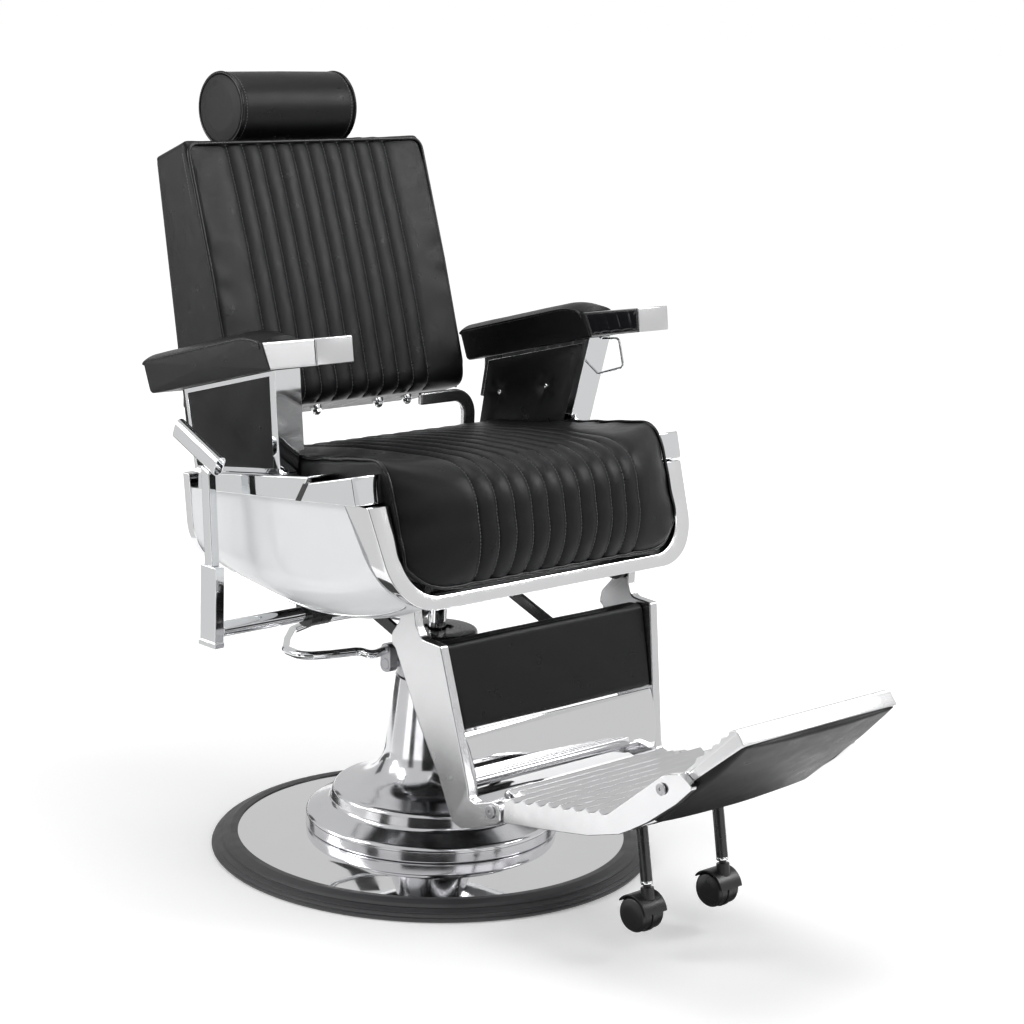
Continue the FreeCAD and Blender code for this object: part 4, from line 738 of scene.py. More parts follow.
@dataclass
class Loft:
    """A soft piece as closed outlines set side by side across X, with crowned ends.

    The outline at each place along X is drawn in along its own normal: by the sewn lines, and in a
    quarter circle towards the two ends. The ends shrink to their middle and stand a little proud.
    """

    half_width: float
    edge: float = 9.0
    end_crown: float = 3.0
    around: int = 260
    padding: float = 0.0

    def stations(self) -> Array:
        """Places along X, closer together near the ends.

        Returns:
            The places, in rising order.
        """
        turn = np.linspace(0, math.pi / 2, 7)
        side = self.half_width - self.edge * (1 - np.sin(turn))
        middle = np.linspace(-side[0], side[0], 60)[1:-1]
        return np.concatenate([-side[::-1], middle, side])

    def outlines(self, x: Array) -> Array:
        """Closed outlines (y, z) at places along X. Each kind of cushion has its own."""
        raise NotImplementedError

    def sink(self, x: Array, outline: Array, normal: Array) -> Array:
        """How far the cover is drawn in: a quarter circle towards each end.

        Args:
            x: Places along X.
            outline: Points (y, z) of the cover, of shape (stations, around, 2).
            normal: Outward directions at those points.

        Returns:
            Depths of shape (stations, around).
        """
        inner = np.abs(x) - (self.half_width - self.edge)
        drop = self.edge - np.sqrt(np.maximum(self.edge ** 2 - np.maximum(inner, 0) ** 2, 0))
        return np.broadcast_to(drop[:, None], outline.shape[:2])

    def cover(self, x: Array) -> tuple[Array, Array]:
        """The cover's points and outward directions at places along X.

        Args:
            x: Places along X.

        Returns:
            Points and directions, each of shape (stations, around, 3).
        """
        outline = evenly(self.outlines(x), self.around)
        if self.padding:
            outline = softened(outline, self.padding)
        normal = outward(outline)
        outline = outline - normal * self.sink(x, outline, normal)[..., None]
        across = np.broadcast_to(x[:, None], outline.shape[:2])
        flat = np.zeros_like(across)
        return (np.stack([across, outline[..., 0], outline[..., 1]], -1),
                np.stack([flat, normal[..., 0], normal[..., 1]], -1))

    def surface(self) -> Surface:
        """The closed cover.

        Returns:
            The surface with its two crowned ends.
        """
        rings, _ = self.cover(self.stations())
        shrink = np.array([0.985, 0.95, 0.85, 0.65, 0.4, 0.15])[:, None, None]
        ends = []
        for ring, side in ((rings[0], -1), (rings[-1], 1)):
            middle = ring.mean(0)
            cap = middle + (ring - middle) * shrink
            cap[..., 0] += side * self.end_crown * (1 - shrink[..., 0] ** 2)
            ends.append(cap)
        return skin(np.concatenate([ends[0][::-1], rings, ends[1]]))


@dataclass
class SewnLoft(Loft):
    """A loft whose front is sewn down in parallel channels."""

    pitch: float = 30.0
    lines: int = 11
    depth: float = 4.2
    dents: float = 1.0

    @property
    def last(self) -> float:
        """Distance of the outermost sewn line from the middle."""
        return self.pitch * (self.lines - 1) / 2

    def seams(self) -> Array:
        """Places of the sewn lines along X."""
        return np.linspace(-self.last, self.last, self.lines)

    def stations(self) -> Array:
        """Places along X, closest together beside the sewn lines: the sine of even angles.

        Returns:
            The places, in rising order.
        """
        swing = np.sin(np.linspace(-math.pi / 2, math.pi / 2, 13))[:-1] * self.pitch / 2
        middles = (self.seams()[:-1] + self.seams()[1:]) / 2
        channels = (middles[:, None] + swing[None]).ravel()
        near = self.last + self.pitch * np.array([0.0, 0.02, 0.06, 0.13, 0.22, 0.35, 0.5, 0.75])
        side = self.half_width - self.edge * (1 - np.sin(np.linspace(0, math.pi / 2, 7)))
        flat = np.linspace(near[-1], side[0], 8)[1:-1]
        outer = np.concatenate([near, flat, side])
        return np.concatenate([-outer[::-1], channels[1:], outer])

    def sewn_share(self, normal: Array) -> Array:
        """Share of the sewn depth at each point: whole on the face that is sewn."""
        return step_up(-normal[..., 0], -0.1, 0.35)

    def sink(self, x: Array, outline: Array, normal: Array) -> Array:
        """Channels are circular between their lines, with puckers along each line and dents at the sides.

        The depth across a channel is 1 - sqrt(1 - 0.985 u^2), where u runs from -1 to 1 between its
        two lines. A small wave along the seam dies out a few millimetres away from it.

        Args:
            x: Places along X.
            outline: Points (y, z) of the cover, of shape (stations, around, 2).
            normal: Outward directions at those points.

        Returns:
            Depths of shape (stations, around).
        """
        nearest = np.clip(np.round((x + self.last) / self.pitch), 0, self.lines - 1)
        distance = np.abs(x - (nearest * self.pitch - self.last))
        reach = np.where(np.abs(x) > self.last, 0.8 * self.pitch, 0.5 * self.pitch)
        u = np.clip(1 - distance / reach, 0, 1)
        channel = self.depth * (1 - np.sqrt(1 - 0.985 * u * u)) / 0.8775
        run = np.linalg.norm(np.diff(outline, axis=1, append=outline[:, :1]), axis=-1).cumsum(1)
        pucker = 0.22 * np.sin(run / 2.1 + 1.7 * nearest[:, None]) * np.exp(-distance / 3.5)[:, None]
        soft = 0.4 * np.sin(run / 17.0 + x[:, None] / 23.0) * np.sin(x[:, None] / 31.0 + run / 41.0)
        near = np.exp(-((self.half_width - 14 - np.abs(x)) / 15.0) ** 2)[:, None]
        soft = soft + self.dents * near * np.sin(run / 10.5 + 1.4 * np.sin(run / 31.0))
        share = self.sewn_share(normal)
        return super().sink(x, outline, normal) + share * (channel[:, None] + pucker + soft)


@dataclass
class SeatForm(SewnLoft):
    """The seat cushion: a sewn top that turns down over the front as an apron in the rim.

    Its nose stands forward in the middle. At both sides it falls back to the leaning face of the rim.
    """

    half_width: float = 262.0
    edge: float = 7.0
    end_crown: float = 1.0
    pitch: float = 30.7
    around: int = 520
    padding: float = 7.0
    dents: float = 1.3
    rear: float = 165.0
    underside: float = 558.0
    high: float = 630.0
    low: float = 594.0
    nose: float = -262.0
    foot: float = 466.0
    corner: float = 75.0

    def apron_foot(self, x: Array) -> Array:
        """Height of the apron's lower edge: level, then a quarter circle up each side."""
        beyond = np.clip(np.abs(x) - (self.half_width + 8 - self.corner), 0, self.corner)
        return self.foot + self.corner - np.sqrt(self.corner ** 2 - beyond ** 2)

    def outlines(self, x: Array) -> Array:
        """The side view of the cushion, from its rear foot over the top and down the apron.

        Args:
            x: Places along X.

        Returns:
            Closed outlines of shape (stations, n, 2).
        """
        foot, rear, nose = self.apron_foot(x), self.rear, self.nose
        low, high, under = self.low, self.high, self.underside
        side = (np.abs(x) / self.half_width) ** 4

        def between(middle: float, height: Array | float, forward: float = 0.0) -> Array:
            """A place along Y: the middle's own, or the rim's face at the sides."""
            return middle + side * (rim_face(height) - forward - middle)

        knee, waist = high - 72, (high + foot) / 2 - 32
        return bends([
            ((rear, under),), ((rear, low - 8),), ((rear - 3, low - 3), (rear - 10, low)),
            (((rear + nose + 70) / 2, (low + high) / 2 + 8 - 6 * side),
             (between(nose + 76, high, -24.0), high + 6 * side)),
            ((between(nose + 24, high - 8), high - 22 + 14 * side), (between(nose + 5, knee), knee)),
            ((between(nose, waist), waist), (between(nose + 16, foot + 5), foot + 5)),
            ((between(nose + 19, foot, -4.0), foot + 1.4), (between(nose + 24, foot, -10.0), foot)),
            ((nose + 60 + 0 * x, foot),), ((nose + 92, under),)], 24)

    def sewn_share(self, normal: Array) -> Array:
        """The top and the apron are sewn, the underside and the rear are not."""
        return step_up(np.maximum(normal[..., 1], -normal[..., 0]), 0.0, 0.4)

    def side_seam(self) -> tuple[Array, Array]:
        """The seam of the left side, from below the arm over the nose to the apron's foot.

        Returns:
            Points and outward directions, each of shape (n, 3).
        """
        points, away = self.cover(np.array([self.half_width - 4.5]))
        ring, normal = points[0], away[0]
        top = (normal[:, 2] > 0.6) & (ring[:, 1] < 90)
        front = (normal[:, 1] < -0.45) & (normal[:, 2] > -0.75) & (ring[:, 1] < self.nose + 110)
        return ring[top | front], normal[top | front]

    def foot_seam(self, x: Array) -> tuple[Array, Array]:
        """The lower front edge of the apron.

        Args:
            x: Places along X.

        Returns:
            Points and outward directions, each of shape (stations, 3).
        """
        points, away = self.cover(x)
        facing = away[..., 1] * 0.6 + away[..., 2] * 0.8 + 9 * (points[..., 1] > self.nose + 60)
        lowest = facing.argmin(1)
        rows = np.arange(len(x))
        return points[rows, lowest], away[rows, lowest]


@dataclass
class BackForm(SewnLoft):
    """The back cushion, drawn upright about the back's own pivot."""

    half_width: float = 225.0
    edge: float = 9.0
    around: int = 480
    padding: float = 2.5
    dents: float = 0.8
    front: float = -26.7
    foot: float = 83.0
    top: float = 480.0
    rear_top: float = 55.0
    rear_foot: float = 104.0

    def outlines(self, x: Array) -> Array:
        """The side view of the cushion: a flat rear, a slightly full front, a round lower edge.

        Args:
            x: Places along X.

        Returns:
            Closed outlines of shape (stations, n, 2).
        """
        front, foot, top = self.front, self.foot, self.top
        each = np.zeros_like(x)
        return bends([
            ((self.rear_foot, foot + each),), ((self.rear_top, top - 4 + each),),
            ((front + 14, top + each),), ((front + 5, top - 6), (front + 1, top - 34)),
            ((front - 4, (foot + top) / 2), (front, foot + 36)),
            ((front + 6, foot + 11), (front + 24, foot))], 30)


@dataclass
class PadForm(Loft):
    """A plain upholstered pad: any outline, fuller in its middle where it faces the sitter."""

    corners: tuple = ()
    crown: float = 4.0
    facing: tuple[float, float] = (0.0, 1.0)
    widen: Callable[[Array], Array] | None = None
    wave: float = 0.4

    def outlines(self, x: Array) -> Array:
        """The same rounded outline at every place along X."""
        shape = rounded(self.corners, 10)
        return np.broadcast_to(shape, (len(x), *shape.shape))

    def sink(self, x: Array, outline: Array, normal: Array) -> Array:
        """The crown is a parabola across the width on the facing side, with a few soft waves.

        Args:
            x: Places along X.
            outline: Points (y, z) of the cover, of shape (stations, around, 2).
            normal: Outward directions at those points.

        Returns:
            Depths of shape (stations, around). A negative depth stands out.
        """
        faced = step_up(normal[..., 0] * self.facing[0] + normal[..., 1] * self.facing[1], 0.3, 0.9)
        full = self.crown * (1 - (x / self.half_width) ** 2)[:, None]
        wave = self.wave * np.sin(outline[..., 0] / 13 + x[:, None] / 19) * np.sin(outline[..., 1] / 17)
        return super().sink(x, outline, normal) - faced * full - wave * (1 - faced * 0.5)

    def surface(self) -> Surface:
        """The closed pad, spread sideways where its width changes with height.

        Returns:
            The surface.
        """
        made = super().surface()
        if self.widen is not None:
            made.points[:, 0] *= self.widen(made.points[:, 2])
        return made


def rim_face(z: Array | float) -> Array | float:
    """Place along Y of the front rim's face at a height. It leans back by 21 degrees from its foot."""
    return -245.0 + (z - 442.0) * RIM_LEAN


def rail_foot(y: Array | float) -> Array | float:
    """Height of the underside of the side rails at a place along Y."""
    return 546.0 + (RAIL_REAR - y) * 36.0 / 347.0


def pad_foot(y: Array | float) -> Array | float:
    """Height of the underside of the arm pads at a place along Y."""
    return 673.6 + (244.0 - y) * 68.9 / 262.0


def arm_face(z: Array | float) -> Array | float:
    """Half distance between the outer faces of the arm frames at a height."""
    return 297.0 + (z - 600.0) * ARM_LEAN


@dataclass
class Base:
    """The floor plate with its rubber ring, the spun skirt and the pump head on it."""

    radius: float = 325.0
    ring_width: float = 34.0
    ring_height: float = 20.0
    plate_edge: float = 22.0
    plate_height: float = 35.0
    foot_radius: float = 187.0
    shoulder: float = 147.0
    neck: float = 59.0
    head_bottom: float = 262.0
    bore: float = 14.05

    def build(self) -> None:
        """Makes all pieces of the base."""
        self.plate()
        self.ring()
        self.skirt()
        self.pump_head()
        frame["nodes"]["base_cylinder"].data.materials.clear()
        frame["nodes"]["base_cylinder"].data.materials.append(STEEL.material())

    def plate(self) -> None:
        """The polished disc, domed slightly towards its middle, with six ribs underneath."""
        rim = self.radius - self.ring_width - 0.3
        disc = lathe(rounded([
            (0, 0), (60, 0, 1), (60, 15, 2), (rim - 12, 12, 2), (rim - 12, 1), (rim, 1),
            (rim, self.plate_edge, 0.8), (self.foot_radius + 40, self.plate_height - 4, 300),
            (self.foot_radius - 8, self.plate_height), (0, self.plate_height)], 8), 240)
        ribs = []
        for i in range(6):
            turn = math.radians(60 * i)
            block = skin(np.array([[(r, w, z) for w, z in ((-4, 3), (4, 3), (4, 13), (-4, 13))]
                                   for r in (56, rim - 10)], float))
            x, y = block.points[:, 0].copy(), block.points[:, 1].copy()
            block.points[:, 0] = x * math.cos(turn) - y * math.sin(turn)
            block.points[:, 1] = x * math.sin(turn) + y * math.cos(turn)
            ribs.append(block)
        disc.plus(*ribs).dress("base_disc", BASE_CHROME, "base", "base_chrome", ("base_plate",))

    def ring(self) -> None:
        """The moulded ring: three grooves round its sloping face and a lip over the disc."""
        inner, radius = self.radius - self.ring_width, self.radius
        corners = [(inner, 0), (radius - 3, 0, 1), (radius, 3, 1)]
        for i in range(3):
            middle = self.ring_height * (0.32 + 0.24 * i)
            face = radius - 2.6 * i * i
            corners += [(face - i, middle - 1.4, 0.6), (face - i - 2.5, middle, 0.5),
                        (face - i - 1, middle + 1.4, 0.6)]
        corners += [(radius - 18, self.ring_height + 1, 3), (inner + 6, self.plate_edge + 2.4, 2),
                    (inner - 4, self.plate_edge + 2, 0.6), (inner - 4, self.plate_edge + 0.6, 0.3),
                    (inner, self.plate_edge + 0.4)]
        lathe(rounded(corners, 4), 240).dress("base_ring", RUBBER, "base", "ring_rubber",
                                              ("base_rubber_ring",), sharp=50)

    def skirt(self) -> None:
        """Spun sheet: rolled foot ring, a rolled shoulder and a long flare up to the pump head."""
        foot, wall, shoulder = self.plate_height, 3.0, self.shoulder
        ring, top, bend, flare = foot + 21, self.head_bottom - 0.5, self.neck + 17, foot + 76
        profile = rounded([
            (self.foot_radius, foot, 3), (self.foot_radius, ring, 9), (shoulder + 4, ring + 15, 10),
            (shoulder, ring + 37, 10), (shoulder - 13, ring + 40, 5), (bend, flare, 60), (self.neck, top),
            (self.neck - wall, top), (bend - wall, flare - wall, 60),
            (shoulder - 13 - wall, ring + 40 - wall, 2), (shoulder - wall, ring + 37 - wall, 7),
            (shoulder + 4 - wall, ring + 15 - wall, 10), (self.foot_radius - wall, ring - wall, 6),
            (self.foot_radius - wall, foot)], 16)
        lathe(profile, 240).dress("spun_skirt", SPUN, "base", "spun_metal", ("base_skirt",))

    def pump_head(self) -> None:
        """The housing and its cap, which turn with the chair."""
        low, top = self.head_bottom, self.head_bottom + 54
        lathe(rounded([(self.bore, low), (57, low, 3), (57, top - 30, 1), (57.6, top - 29, 0.5),
                       (57.6, top, 2), (self.bore, top)], 5), 150).dress(
            "pump_head_housing", STEEL, "pump_head", "machined_steel", ("pump_housing",))
        lathe(rounded([(self.bore, top), (60, top, 1), (60, top + 16, 5), (26, top + 16, 2),
                       (22, top + 13, 1), (self.bore, top + 13)], 6), 150).dress(
            "pump_head_cap", BLACK_ENAMEL, "pump_head", "black_enamel", ("pump_cap",))


@dataclass
class PumpLever:
    """The foot lever: one bright rod bent round behind the pedestal."""

    rod_radius: float = 6.3
    level: float = 305.0
    bend: float = 24.0
    plan: tuple = ((-78.7, 25), (-113, 14), (-108, 42), (-157, 54), (-196, 70), (-192, 112), (-158, 152),
                   (-117, 192), (-52, 216), (14, 214), (58, 182), (99, 62), (97, 25), (77.3, 25))

    def build(self) -> None:
        """Makes the rod, and dresses the shaft and its clamps."""
        route = path_bends([(x, y, self.level) for x, y in self.plan], self.bend)
        sweep(route, self.rod_radius, 20).dress("foot_lever_rod", CHROME, "pump_lever", "chrome",
                                                ("pump_lever_rod",), sharp=60)
        refined("pump_lever_shaft", STEEL, 0.8)
        refined("pump_lever_clamps", STEEL, 1.0)


@dataclass
class Tub:
    """The shell under the seat: enamelled sides between two bright rims, and rails on top."""

    half_width: float = 300.0
    wall: float = 3.0
    corner: float = 80.0
    belly: float = 394.0
    rear_bottom: float = 421.0
    front_bottom: float = 442.0
    opening: float = 224.0
    rear: float = 197.0
    rail_end: float = -137.0
    inset: float = 10.0
    front_foot: float = -221.0
    front_slope: float = 82.9 / 143.0

    def build(self) -> None:
        """Makes all pieces of the tub."""
        right = self.side()
        right.dress("tub_sheet_right", ENAMEL, "seat", "grey_enamel", ("tub_side_right",))
        right.mirrored().dress("tub_sheet_left", ENAMEL, "seat", "grey_enamel", ("tub_side_left",))
        self.edge_trim()
        self.front_rim()
        refined("tub_rear_rim", RIM_CHROME, 1.2)
        for node in ("side_rail_right", "side_rail_left"):
            refined(node, CHROME, 1.0)
        self.rail_fronts()

    def front_rim(self) -> None:
        """The bright U in front. Its legs widen upward and its front face leans back.

        Each ring has rounded corners, measured from the outer edge to the inner and from front to rear.
        """
        half, foot, top = self.half_width, self.front_bottom, 580.0
        outer = path_bends([(-half, 0, top), (15 - half, 0, foot), (half - 15, 0, foot), (half, 0, top)],
                           self.corner, 24)
        inner = path_bends([(37 - half, 0, top), (34 - half, 0, foot + 18), (half - 34, 0, foot + 18),
                            (half - 37, 0, top)], self.corner - 14, 24)
        inward = inner - outer
        wide = np.linalg.norm(inward, axis=1)
        deep = 24 + (outer[:, 2] - foot) * 28 / (top - foot)
        ring = rounded([(0, 0, 1.8), (wide, 0, 1.8), (wide, deep, 1.8), (0 * wide, deep, 1.8)], 4)
        points = outer[:, None] + (inward / wide[:, None])[:, None] * ring[..., :1]
        points[..., 1] = rim_face(points[..., 2]) + ring[..., 1]
        skin(points).dress("front_rim", RIM_CHROME, "seat", "chrome", ("tub_front_rim",), sharp=30)

    def rail_fronts(self) -> None:
        """The blocks in front of the side rails, which end past the rim, and their dark slanted joints."""
        low, high = rail_foot(-66.0), rail_foot(-80.0) + 26.0
        block = ((-65.0, low), (-82.0, high), (-171.0, 620.0, 2), (-181.0, rail_foot(-181.0), 2))
        joint = ((-55.0, low - 1), (-71.5, high - 2), (-83.0, high - 0.4), (-67.0, low + 0.4))
        pieces = ((prism(block, -312.6, -262.0, 1.5), "rail_block", CHROME, "chrome"),
                  (prism(joint, -312.9, -300.0, 0.2), "rail_joint", BLACK_ENAMEL, "black_enamel"))
        for surface, name, finish, slot in pieces:
            hidden = ("rail_front_blocks",) if finish is CHROME else ()
            surface.dress(name + "_right", finish, "seat", slot, hidden)
            surface.mirrored().dress(name + "_left", finish, "seat", slot)

    def bottom(self, along: Array) -> Array:
        """Height of the lower edge, with a belly between rear and front.

        Args:
            along: Shares of the way from the rear at 0 to the front at 1.

        Returns:
            Heights of the same shape.
        """
        sag = np.sin(math.pi * np.clip(along, 0, 1)) ** 0.8
        level = self.rear_bottom + (self.front_bottom - self.rear_bottom) * along
        return level + (self.belly - level) * sag

    def front(self, z: Array) -> Array:
        """Place of the slanted front edge at a height."""
        return self.front_foot + 0.4 + np.maximum(z - self.front_bottom, 0) * self.front_slope

    def rings(self, along: Array) -> Array:
        """Closed outlines of the sheet: down from the rail, round the corner and inward.

        Args:
            along: Shares of the way from rear to front.

        Returns:
            Points of shape (shares, n, 3).
        """
        wall, corner, bottom = self.wall, self.corner, self.bottom(along)
        top = rail_foot(self.rear + (self.rail_end - self.rear) * along) - 0.5
        side = -self.half_width + 0 * along
        foot, inner = side + self.inset, side + self.inset + corner
        shape = rounded([
            (side, top), (foot, bottom, corner), (inner, bottom), (inner, bottom + wall),
            (foot + wall, bottom + wall, corner - wall), (side + wall, top)], 24)
        low, high = np.minimum(shape[..., 0], -self.opening), shape[..., 1]
        place = self.rear + (self.front(high) - self.rear) * along[:, None]
        return np.stack([low, place, high], -1)

    def side(self) -> Surface:
        """The right hand sheet: outlines of one wall thickness carried from rear to front."""
        return skin(self.rings(np.linspace(0, 1, 72)))

    def edge_trim(self) -> None:
        """A bright bead along the lower edge of each sheet."""
        along = np.linspace(0.01, 0.99, 70)
        outer = self.rings(along)[:, 42]
        bead = sweep(outer, 2.0, 10, up=(1.0, 0.0, 0.2))
        bead.dress("tub_bead_right", CHROME, "seat", "chrome")
        bead.mirrored().dress("tub_bead_left", CHROME, "seat", "chrome")


@dataclass
class Seat:
    """The seat cushion with its piping and threads, and the frame and board below it."""

    form: SeatForm = field(default_factory=SeatForm)
    piping: float = 2.6

    def build(self) -> None:
        """Makes the cushion and dresses the parts under it."""
        form = self.form
        cushion = form.surface().dress("seat_cover", LEATHER, "seat", "upholstery", ("seat_cushion",))
        self.threads()
        self.welts()
        for node, finish, slot in (
                ("seat_board", BOARD, "board"), ("seat_frame", BLACK_ENAMEL, "black_enamel"),
                ("lift_ram", CHROME, "chrome"), ("recline_bearing", BLACK_ENAMEL, "black_enamel")):
            refined(node, finish, 0.8)

    def threads(self) -> None:
        """Threads along each sewn line, on the top and down the apron."""
        points, away = self.form.cover(self.form.seams())
        rows = []
        for ring, normal in zip(points, away):
            sewn = (np.maximum(normal[:, 2], -normal[:, 1]) > 0.25) & (ring[:, 2] > self.form.foot + 8)
            rows.append(stitches(ring[sewn] + normal[sewn] * 0.5, normal[sewn], thick=0.7))
        rows[0].plus(*rows[1:]).dress("seat_threads", THREAD, "seat", "upholstery", sharp=60)

    def welts(self) -> None:
        """Piping along both side seams and round the foot of the apron."""
        form = self.form
        seam, away = form.side_seam()
        left = seam + away * 1.4 + np.array([self.piping, 0, 0])
        across = np.linspace(form.half_width - 12, 12 - form.half_width, 110)
        foot, out = form.foot_seam(across)
        route = np.concatenate([left, foot + out * 1.2, left[::-1] * (-1, 1, 1)])
        sweep(smoothed(route, 6), self.piping, 12, up=(0.3, 0.9, 0.1)).dress(
            "seat_piping", PIPING, "seat", "upholstery", sharp=60)


def smoothed(route: Array, times: int) -> Array:
    """Evens a route out: points equally spaced, then each moved to the mean of its neighbours.

    Args:
        route: Points of shape (n, 3).
        times: How often the points are averaged.

    Returns:
        The evened route.
    """
    reach = np.concatenate([[0.0], np.cumsum(np.linalg.norm(np.diff(route, axis=0), axis=1))])
    even = np.linspace(0, reach[-1], int(reach[-1] / 4))
    route = np.stack([np.interp(even, reach, route[:, i]) for i in range(3)], -1)
    for _ in range(times):
        route[1:-1] = (route[:-2] + 2 * route[1:-1] + route[2:]) / 4
    return route


@dataclass
class Arm:
    """One arm rest: steel frame, covered panel, padded rest with its cap. Modelled on the right."""

    outside: float = 334.0
    width: float = 62.0
    front: float = -24.0
    thick: float = 46.0
    border: float = 7.3
    post: float = 14.3
    inner_face: float = 42.8
    buttons: tuple = ((158.0, 635.5), (60.0, 658.6))

    def build(self) -> None:
        """Makes both arms."""
        self.rest()
        self.panel()
        for side in ("right", "left"):
            refined("arm_frame_" + side, CHROME, 0.9)
        refined("arm_pad_brackets", BLACK_ENAMEL, 0.6)
        self.caps()

    def both(self, surface: Surface, name: str, finish: Finish, slot: str, node: str = "") -> list:
        """Dresses a right hand surface and its left hand twin.

        Args:
            surface: The right hand one.
            name: Name of the pieces before _right and _left.
            finish: What covers them.
            slot: The record's material slot.
            node: Name of the CAD nodes that they stand for, before _right and _left.

        Returns:
            The two pieces.
        """
        return [made.dress("%s_%s" % (name, side), finish, "seat", slot,
                           ("%s_%s" % (node, side),) if node else ())
                for made, side in ((surface, "right"), (surface.mirrored(), "left"))]

    def corners(self) -> tuple:
        """The side view of the padded rest.

        Returns:
            (y, z, radius) of each corner.
        """
        crest = pad_foot(32.0) + self.thick + 6
        return ((self.front, 744.1, 1.0), (250.0, 672.0, 8.0), (269.0, 717.0, 4.0), (32.0, crest, 120.0),
                (-5.0, 778.5, 1.0))

    def rest(self) -> None:
        """The padded rest: flat sides, a crowned top and piping along its two upper edges."""
        middle = -self.outside + self.width / 2
        form = PadForm(self.width / 2, edge=3.0, end_crown=1.5, around=300, corners=self.corners(),
                       crown=8.5, wave=0.35)
        pad = form.surface()
        pad.points[:, 0] += middle
        for piece in self.both(pad, "arm_rest", LEATHER, "upholstery", "arm_pad"):
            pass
        shape = evenly(rounded(self.corners(), 16)[None], 400)[0]
        normal = outward(shape)
        top = (normal[:, 1] > 0.35) & (shape[:, 0] > 2)
        line = shape[top] - normal[top] * 1.2
        line = line[np.argsort(line[:, 0])]
        start, end = line[0] + np.array([-3.0, -9.0]), line[-1] + np.array([1.5, -3.0])
        line = np.concatenate([start[None], line, end[None]])
        for name, x in (("outer", -self.outside + 1.0), ("inner", -self.outside + self.width - 1.0)):
            route = np.stack([np.full(len(line), x), line[:, 0], line[:, 1]], -1)
            welt = sweep(smoothed(route, 2), 2.3, 10, up=(1.0, 0.0, 0.0))
            self.both(welt, "arm_piping_" + name, PIPING, "upholstery")

    def panel(self) -> None:
        """The covered panel: a plain outer face, and a tufted inner face with two buttons."""
        slope = (rail_foot(-64.0) + 10 - rail_foot(RAIL_REAR) + 1) / 245.0

        def rail_top(y: float) -> float:
            """Height of the frame's lower bar, on the rail, at a place along Y."""
            return rail_foot(RAIL_REAR) + 25 + (RAIL_REAR - y) * slope

        front, rear, lean = -1.0 + self.post, 200.0 - self.border, 16.0
        quad = [(front, rail_top(front) + self.border), (rear, rail_top(rear) + self.border),
                (rear, pad_foot(rear) - self.border), (front - lean, pad_foot(front - lean) - self.border)]
        for name, depth, puff, tufted in (("outer", 1.2, 2.0, False), ("inner", self.inner_face, 5.0, True)):
            face = self.pillow(quad, depth, puff, tufted, 1 if tufted else -1)
            pieces = self.both(face, "arm_panel_" + name, LEATHER, "upholstery",
                               "" if name == "inner" else "arm_panel")
        studs = []
        for y, z in self.buttons:
            dome = lathe(rounded([(0, 0), (4.4, 0, 0.4), (3.8, 2.2, 1.4), (0, 3.4)], 4), 24, along_x=True)
            x = -arm_face(z) + self.inner_face - 0.4
            studs.append(Surface(dome.points + np.array([x, y, z]), dome.faces))
        self.both(studs[0].plus(*studs[1:]), "arm_buttons", CHROME, "chrome")

    def pillow(self, quad: list, depth: float, puff: float, tufted: bool, side: int) -> Surface:
        """A padded sheet over four corners on the leaning arm frame.

        It swells by puff(1 - u^6)(1 - v^6). Each button draws it in by a bell curve, and five folds
        run out from the button as a cosine of the angle that dies out with distance.

        Args:
            quad: Corners (y, z), round the sheet.
            depth: Distance of the sheet inward from the outer face of the frame.
            puff: Height of the swelling.
            tufted: True where the buttons are.
            side: 1 where the sheet faces the sitter.

        Returns:
            The closed sheet.
        """
        u, v = np.meshgrid(np.linspace(-1, 1, 90), np.linspace(-1, 1, 70), indexing="ij")
        weights = [(1 - u) * (1 - v) / 4, (1 + u) * (1 - v) / 4, (1 + u) * (1 + v) / 4, (1 - u) * (1 + v) / 4]
        y = sum(w * corner[0] for w, corner in zip(weights, quad))
        z = sum(w * corner[1] for w, corner in zip(weights, quad))
        height = puff * (1 - u ** 6) * (1 - v ** 6)
        if tufted:
            for place in self.buttons:
                away = np.hypot(y - place[0], z - place[1])
                turn = np.arctan2(z - place[1], y - place[0])
                height -= 4.5 * np.exp(-(away / 12.0) ** 2) * (1 - u ** 6)
                height -= 0.5 * np.cos(5 * turn + 0.7) * np.exp(-((away - 15) / 9.0) ** 2)
        height += 0.3 * np.sin(y / 11 + z / 17) * (1 - u ** 6) * (1 - v ** 6)
        x = -arm_face(z) + depth + side * height
        rear = -arm_face(z) + depth - side * 3.0 * (1 - u ** 6) * (1 - v ** 6)
        return two_sided(np.stack([x, y, z], -1), np.stack([rear, y, z], -1))

